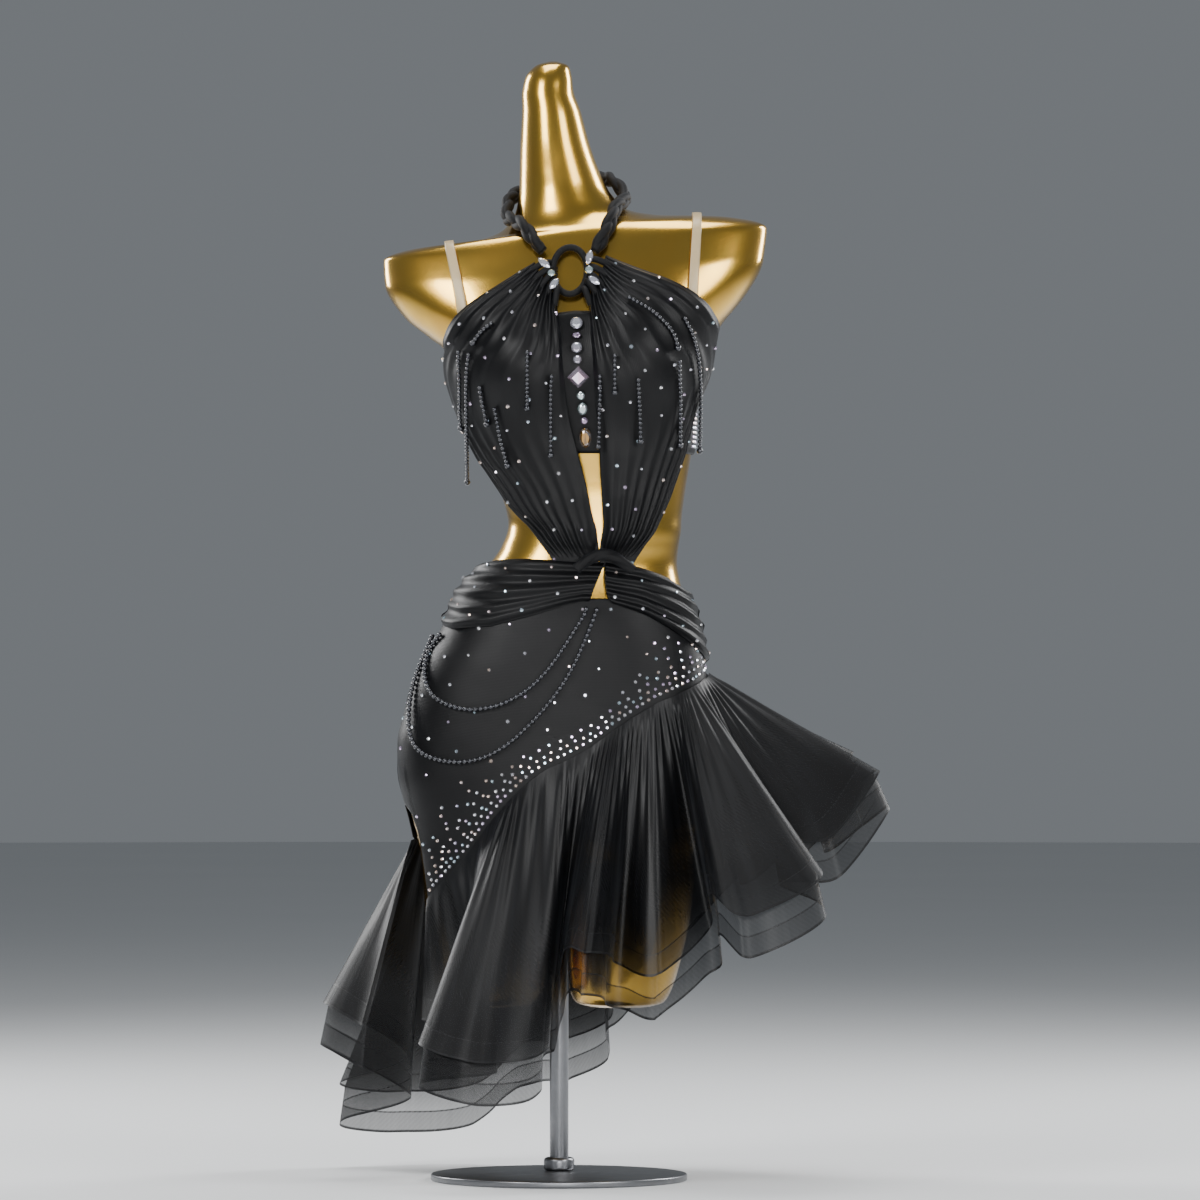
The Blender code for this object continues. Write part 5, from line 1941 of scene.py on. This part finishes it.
@dataclass
class Beading:
    """Strings of jet beads: two swags at the left hip and a fringe of short strings."""

    body: BodyShape
    wardrobe: Wardrobe
    swag_lift: float = 8.0
    swag_bead: float = 6.0
    fringe_lift: float = 8.5
    fringe_bead: float = 5.0
    end_bead: float = 7.5

    def string(
        self, name: str, tree: bpy.types.NodeTree, path: Array, bead: float, end: float
    ) -> bpy.types.Object:
        """Args:
            name: The string's name.
            tree: The node tree that threads beads.
            path: Its route, from where it is sewn on.
            bead: Width of a bead in millimetres.
            end: Width of its last bead in millimetres.

        Returns:
            The string.
        """
        line = points_mesh(name, path, [(i, i + 1) for i in range(len(path) - 1)])
        values = {
            "Bead": bead * MM,
            "End Bead": end * MM,
            "Pitch": bead * 1.04 * MM,
            "Thread": 0.16 * bead * MM,
            "Finish": self.wardrobe.jet,
        }
        piece = add_object(name, grown(name, line, tree, values), self.wardrobe.jet)
        return piece

    def build(self) -> None:
        """Builds every string."""
        tree = bead_string_tree()
        for name, route in zip(("swag_upper", "swag_lower"), SWAGS):
            path = smooth_path(self.body.over(route, self.swag_lift), 6)
            piece = self.string("jet_" + name, tree, path, self.swag_bead, self.swag_bead)
            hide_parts(name)
            finish_piece(piece)
        for number, route in enumerate(FRINGES, start=1):
            level, angle = self.body.place(*np.array(route, float).T)
            lift = self.body.drape_lift(level, angle) + self.fringe_lift
            path = smooth_path(self.body.over(route, lift), 4)
            name = f"fringe_{number:02d}"
            piece = self.string("jet_" + name, tree, path, self.fringe_bead, self.end_bead)
            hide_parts(name)
            finish_piece(piece)


# ---------------------------------------------------------------- stones and crystals


class Cut(Enum):
    """Outline of a large stone."""

    ROUND = "round"
    OVAL = "oval"
    SQUARE = "square"
    MARQUISE = "marquise"


class Stone(NamedTuple):
    """A large stone: where it sits, its size, cut, turn and colour."""

    name: str
    x: float
    z: float
    width: float
    height: float
    cut: Cut
    turn: float
    colour: str


CLEAR, ROSE, GREEN, VIOLET, AMBER = "#E4E8F2", "#E6B8D4", "#B4E0D0", "#7C3B86", "#AE7D12"
# Painted glint mixed into the facets of the large stones, and painted shade into those of the amber one.
FACET_GLINT, AMBER_FACET_SHADE = "#F6F2FF", "#3A2A08"
BRA_STONES = (
    Stone("stone_centre_1", -27, 996, 15, 15, Cut.ROUND, 0, CLEAR),
    Stone("stone_centre_2", -27, 982, 10, 7, Cut.OVAL, 0, VIOLET),
    Stone("stone_centre_3", -27, 969, 13, 13, Cut.ROUND, 0, CLEAR),
    Stone("stone_centre_4", -26, 956, 10, 10, Cut.ROUND, 0, CLEAR),
    Stone("stone_centre_5", -25, 937, 26, 26, Cut.SQUARE, 45, ROSE),
    Stone("stone_centre_6", -22, 917, 10, 10, Cut.ROUND, 0, GREEN),
    Stone("stone_centre_7", -20, 902, 12, 15, Cut.OVAL, 0, GREEN),
    Stone("stone_centre_8", -18, 888, 9, 9, Cut.ROUND, 0, VIOLET),
    Stone("stone_centre_9", -17, 868, 15, 24, Cut.OVAL, 0, AMBER),
)
RING_STONES = (
    Stone("stone_ring_left_1", -64, 1062, 9, 19, Cut.MARQUISE, 48, CLEAR),
    Stone("stone_ring_left_2", -56, 1050, 9, 9, Cut.ROUND, 0, GREEN),
    Stone("stone_ring_left_3", -53, 1037, 9, 17, Cut.MARQUISE, -35, CLEAR),
    Stone("stone_ring_right_1", -12, 1069, 9, 19, Cut.MARQUISE, -12, CLEAR),
    Stone("stone_ring_right_2", -12, 1054, 10, 10, Cut.ROUND, 0, GREEN),
    Stone("stone_ring_right_3", -6, 1041, 9, 17, Cut.MARQUISE, 52, CLEAR),
)
# Size, height and turn of each level of facets, from the girdle up to the table.
TABLE_SHARE = 0.56
ROUND_LEVELS = (
    (0.86, 0.0, 0.0), (0.98, 0.14, 0.0), (0.97, 0.34, 0.0), (0.78, 0.74, 0.5), (TABLE_SHARE, 1.0, 0.0),
)
SQUARE_LEVELS = ((0.9, 0.0, 0.0), (0.99, 0.2, 0.0), (0.8, 0.66, 0.0), (TABLE_SHARE, 1.0, 0.0))


@dataclass
class SetStones:
    """The large stones down the centre of the bra and on each side of the ring."""

    body: BodyShape
    wardrobe: Wardrobe
    bra_lift: float = 7.0
    ring_lift: float = 17.0
    depth_share: float = 0.36
    sides: int = 16
    seed: int = 7

    def outline(self, stone: Stone, shift: float) -> Array:
        """Gives a stone's outline about its middle, turned by a share of a side.

        Args:
            stone: The stone.
            shift: The share of a side.

        Returns:
            Points across and upright.
        """
        count = 4 if stone.cut is Cut.SQUARE else self.sides
        turns = (np.arange(count) + shift) * 2 * math.pi / count + (math.pi / 4 if count == 4 else 0)
        across, upright = np.cos(turns), np.sin(turns)
        if stone.cut is Cut.MARQUISE:
            across = across * np.abs(across) ** 0.6
        flat = np.stack([across * stone.width, upright * stone.height], axis=-1) / 2
        angle = math.radians(stone.turn)
        spin = np.array([[math.cos(angle), -math.sin(angle)], [math.sin(angle), math.cos(angle)]])
        return flat @ spin.T

    def facets(self, stone: Stone, lift: float, rng: np.random.Generator) -> bpy.types.Mesh:
        """Cuts one stone as the hull of its girdle, its crown and its table.

        Args:
            stone: The stone.
            lift: How far off the body its back lies.
            rng: Draws how much painted glint, or painted shade on the amber stone, each facet gets.

        Returns:
            The cut stone, its colour mixed with a painted glint on each facet, or with painted shade on the
            amber stone.
        """
        centre, out, up, side = self.body.frame(stone.x, stone.z, lift)
        depth = self.depth_share * min(stone.width, stone.height)
        levels = SQUARE_LEVELS if stone.cut is Cut.SQUARE else ROUND_LEVELS
        bm = bmesh.new()
        for size, level, shift in levels:
            for a, b in self.outline(stone, shift):
                point = centre + side * a * size + up * b * size + out * depth * level
                bm.verts.new(metres(point))
        hull = bmesh.ops.convex_hull(bm, input=bm.verts)
        inside = set(hull["geom_unused"] + hull["geom_interior"])
        loose = [item for item in inside if isinstance(item, bmesh.types.BMVert)]
        bmesh.ops.delete(bm, geom=loose, context="VERTS")
        bmesh.ops.recalc_face_normals(bm, faces=bm.faces)
        mesh = bpy.data.meshes.new(stone.name + "_cut")
        bm.to_mesh(mesh)
        bm.free()
        # Painted light: each facet's colour is mixed at random with a painted glint, or with painted shade on
        # the amber stone.
        base = np.array(linear(stone.colour))
        other = np.array(linear(AMBER_FACET_SHADE if stone.colour == AMBER else FACET_GLINT))
        share = rng.uniform(0.0, 0.75, len(mesh.polygons))[:, None]
        colours = base * (1 - share) + other * share
        loops = np.concatenate([np.full(face.loop_total, face.index) for face in mesh.polygons])
        layer = mesh.color_attributes.new("tint_and_glint", "FLOAT_COLOR", "CORNER")
        layer.data.foreach_set("color", colours[loops].ravel())
        return mesh

    def build(self) -> None:
        """Builds every large stone."""
        rng = np.random.default_rng(self.seed)
        for stones, lift in ((BRA_STONES, self.bra_lift), (RING_STONES, self.ring_lift)):
            for stone in stones:
                piece = add_object(stone.name + "_cut", self.facets(stone, lift, rng), self.wardrobe.stone)
                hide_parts(stone.name)
                finish_piece(piece)


CRYSTAL_TINTS = ("#F4F6FB", "#E9D3F2", "#CFEBF4", "#F5DCC9", "#FFFFFF")
# Height above the seam, spacing and crystal width of each row of the seam's band.
SEAM_ROWS = (
    (5.0, 8.4, 4.6), (12.5, 10.2, 4.2), (20.5, 13.5, 4.6), (29.5, 17.0, 4.2),
    (40.0, 20.0, 4.4), (51.0, 24.0, 4.0), (64.0, 29.0, 4.4), (79.0, 36.0, 4.0),
)
# Share of the way along the seam, and the band's depth there.
SEAM_DEPTH = ((0, 0.15, 0.4, 0.55, 0.72, 1), (68, 70, 26, 26, 84, 52))


@dataclass
class Crystals:
    """Flat-back crystals scattered over the jersey and packed along the slanting seam."""

    body: BodyShape
    wardrobe: Wardrobe
    bodice: Bodice
    hips: Hips
    spacing: float = 27.0
    wall: float = 1.0
    seed: int = 21
    tree: bpy.types.NodeTree = field(init=False)
    rng: np.random.Generator = field(init=False)

    def __post_init__(self) -> None:
        """Makes the tree that sets the crystals."""
        self.tree = crystal_tree()
        self.rng = np.random.default_rng(self.seed)

    def scattered(self, grid: Array, spacing: float, margin: int = 5) -> list[tuple[int, int]]:
        """Chooses places at least that far apart, well inside the cloth's edges.

        Args:
            grid: The cloth's points.
            spacing: The least distance between two places.
            margin: Rows and columns left free at each edge.

        Returns:
            Row and column of each place.
        """
        rows, columns = grid.shape[:2]
        inside = [(i, j) for i in range(margin, rows - margin) for j in range(margin, columns - margin)]
        self.rng.shuffle(inside)
        chosen: list[tuple[int, int]] = []
        kept = np.empty((0, 3))
        for i, j in inside:
            if len(kept) == 0 or (np.linalg.norm(kept - grid[i, j], axis=1) > spacing).all():
                chosen.append((i, j))
                kept = np.vstack([kept, grid[i, j]])
        return chosen

    def set_on(self, name: str, points: Array, normals: Array, widths: Array, slot: str) -> None:
        """Sets crystals at points, facing along the normals, as one piece.

        Args:
            name: The piece's name.
            points: Where they sit.
            normals: Which way they face.
            widths: Their widths in millimetres.
            slot: The material slot of the cloth they sit on; not used.
        """
        tints = np.array([linear(colour) for colour in CRYSTAL_TINTS])[:, :3]
        source = points_mesh(name, points)
        chosen = tints[self.rng.integers(0, len(tints), len(points))]
        for label, kind, values in (
            ("facing", "FLOAT_VECTOR", normals),
            ("tint_and_glint", "FLOAT_VECTOR", chosen),
            ("width", "FLOAT", widths * MM),
        ):
            layer = source.attributes.new(label, kind, "POINT")
            key = "vector" if kind == "FLOAT_VECTOR" else "value"
            layer.data.foreach_set(key, np.asarray(values, np.float32).ravel())
        mesh = grown(name, source, self.tree, {"Finish": self.wardrobe.crystal})
        piece = add_object(name, mesh, self.wardrobe.crystal)
        finish_piece(piece)

    def on_grid(self, name: str, grid: Array, places: Sequence[tuple[int, int]], slot: str) -> None:
        """Sets crystals at chosen grid points."""
        normals = grid_normals(grid)
        rows, columns = np.array(places).T
        out = normals[rows, columns]
        points = grid[rows, columns] + out * (self.wall / 2 + 0.05)
        widths = self.rng.choice([3.6, 4.4, 4.4, 5.0], len(points))
        self.set_on(name, points, out, widths, slot)

    def seam_band(self) -> None:
        """Packs crystals above the slanting seam: close rows at its edge, thinning upwards."""
        points, normals, widths = [], [], []
        path_angle = np.linspace(-66, 88, 1200)
        seam_z = np.interp(path_angle, FRONT_SEAM_ANGLE, FRONT_SEAM_Z)
        for number, (up, pitch, width) in enumerate(SEAM_ROWS):
            level = seam_z + up * 1.12
            path = self.body.lifted(level, path_angle, self.hips.yoke_lift)
            run = run_along(path)
            spots = np.arange(pitch * 0.5 * (1 + number % 2), run[-1], pitch)
            spots = spots + self.rng.uniform(-0.12, 0.12, len(spots)) * pitch
            angle = np.interp(spots, run, path_angle)
            # The band is deepest at the two ends and only a few rows deep in the middle.
            share = (angle + 66) / 154
            depth = np.interp(share, *SEAM_DEPTH)
            keep = up <= depth * self.rng.uniform(0.85, 1.15, len(angle))
            angle = angle[keep]
            place = np.interp(angle, FRONT_SEAM_ANGLE, FRONT_SEAM_Z) + up * 1.12
            place = place + self.rng.uniform(-0.1, 0.1, len(angle)) * up
            out = self.body.normal(place, angle)
            points.append(self.body.lifted(place, angle, self.hips.yoke_lift + 0.75))
            normals.append(out)
            widths.append(np.full(len(angle), width))
        parts = (np.concatenate(part) for part in (points, normals, widths))
        self.set_on("seam_crystals", *parts, "jersey_yoke")

    def bra_column(self) -> None:
        """Sets three upright rows of crystals on the bra's right side, past the panel."""
        level, angle = np.meshgrid(np.arange(858, 925, 5.4), (76.0, 80.5, 85.0))
        level, angle = level.ravel(), angle.ravel()
        out = self.body.normal(level, angle)
        points = self.body.lifted(level, angle, self.bodice.bra_lift + 0.6)
        self.set_on("bra_crystals", points, out, np.full(len(level), 4.2), "jersey_bra")

    def build(self) -> None:
        """Sets every crystal."""
        self.bra_column()
        for side in Side:
            name = f"panel_{side.value}"
            grid = self.bodice.grids[name]
            self.on_grid(name + "_crystals", grid, self.scattered(grid, self.spacing), "jersey")
        for name in ("sash_left", "sash_right", "sash_back"):
            grid = self.hips.grids[name]
            self.on_grid(name + "_crystals", grid, self.scattered(grid, self.spacing), "jersey_sash")
        for name in ("yoke_front", "yoke_back"):
            grid = self.hips.grids[name]
            heights = np.interp(np.linspace(-90, 90, grid.shape[1]), FRONT_SEAM_ANGLE, FRONT_SEAM_Z)
            places = [
                (i, j)
                for i, j in self.scattered(grid, self.spacing + 5)
                if name == "yoke_back" or grid[i, j, 2] > heights[j] + 34
            ]
            self.on_grid(name + "_crystals", grid, places, "jersey_yoke")
        self.seam_band()


# ---------------------------------------------------------------- the studio


# Name, place and size in metres, and power in watts of each soft light.
LIGHTS = (
    ("key", (-2.2, -3.0, 2.6), (1.4, 1.8), 125),
    ("fill", (2.6, -2.6, 1.8), (1.4, 1.8), 75),
    ("low_front", (0.2, -3.6, 0.7), (1.6, 0.8), 40),
    ("rim_left", (-2.2, 1.8, 1.8), (0.8, 1.8), 80),
    ("rim_right", (2.4, 1.6, 1.8), (0.8, 1.8), 80),
    ("overhead", (0.0, 0.2, 3.4), (1.6, 1.6), 60),
)


@dataclass
class Studio:
    """A plain pale floor, soft lights and a long lens level with the middle of the dress."""

    distance: float = 10.0
    view_width: float = 1.404
    centre_x: float = 0.048
    centre_z: float = 0.6786
    floor_radius: float = 14.0
    backdrop: str = "#72767A"
    light_aim: tuple[float, float, float] = (0.02, 0.0, 0.75)

    def add_light(
        self, name: str, place: Sequence[float], size: tuple[float, float], power: float
    ) -> None:
        """Adds a soft rectangular light that points at the middle of the dress.

        Args:
            name: The light's name.
            place: Where it stands, in metres.
            size: Its width and height in metres.
            power: Its power in watts.
        """
        lamp = bpy.data.lights.new(name, "AREA")
        lamp.shape = "RECTANGLE"
        lamp.size, lamp.size_y = size
        lamp.energy = power
        holder = bpy.data.objects.new(name, lamp)
        holder.location = place
        aim = Vector(self.light_aim) - Vector(place)
        holder.rotation_euler = aim.to_track_quat("-Z", "Y").to_euler()
        bpy.context.scene.collection.objects.link(holder)

    def build(self) -> None:
        """Adds the camera, the floor, the world and the lights."""
        camera = bpy.data.cameras.new("camera")
        camera.sensor_width = 36.0
        camera.lens = 36.0 * self.distance / self.view_width
        camera.clip_end = 100.0
        holder = bpy.data.objects.new("camera", camera)
        holder.location = (self.centre_x, -self.distance, self.centre_z)
        holder.rotation_euler = (math.pi / 2, 0.0, 0.0)
        bpy.context.scene.collection.objects.link(holder)
        bpy.context.scene.camera = holder

        turn = np.linspace(0, 2 * math.pi, 96, endpoint=False)
        radius = self.floor_radius * 1000
        ring = np.stack([radius * np.cos(turn), radius * np.sin(turn), 0 * turn], axis=-1)
        floor = add_object(
            "studio_floor",
            mesh_from("studio_floor", ring + ORIGIN, [tuple(range(96))], False),
            Plain("matt_floor_paint", "#DFE0E1", "#DADCDD", 0.85, grain_mm=900.0, bump=0.02).make(),
        )
        world = bpy.data.worlds.new("studio")
        world.use_nodes = True
        shade = world.node_tree.nodes["Background"]
        shade.inputs["Color"].default_value = linear(self.backdrop)
        shade.inputs["Strength"].default_value = 1.0
        bpy.context.scene.world = world
        for light in LIGHTS:
            self.add_light(*light)


def main() -> None:
    """Builds the whole look in order, from the form outwards."""
    logging.basicConfig(level=logging.INFO, format="%(name)s %(message)s")
    for item in list(bpy.data.objects):
        bpy.data.objects.remove(item, do_unlink=True)
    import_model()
    Studio().build()
    body, wardrobe = BodyShape(), Wardrobe.stocked()
    Beading(body, wardrobe).build()
    DisplayForm(body, wardrobe).build()
    bodice, hips = Bodice(body, wardrobe), Hips(body, wardrobe)
    bodice.build()
    Halter(body, wardrobe).build()
    hips.build()
    Flounces(body, wardrobe).build()
    SetStones(body, wardrobe).build()
    Crystals(body, wardrobe, bodice, hips).build()


if __name__ == "__main__":
    main()
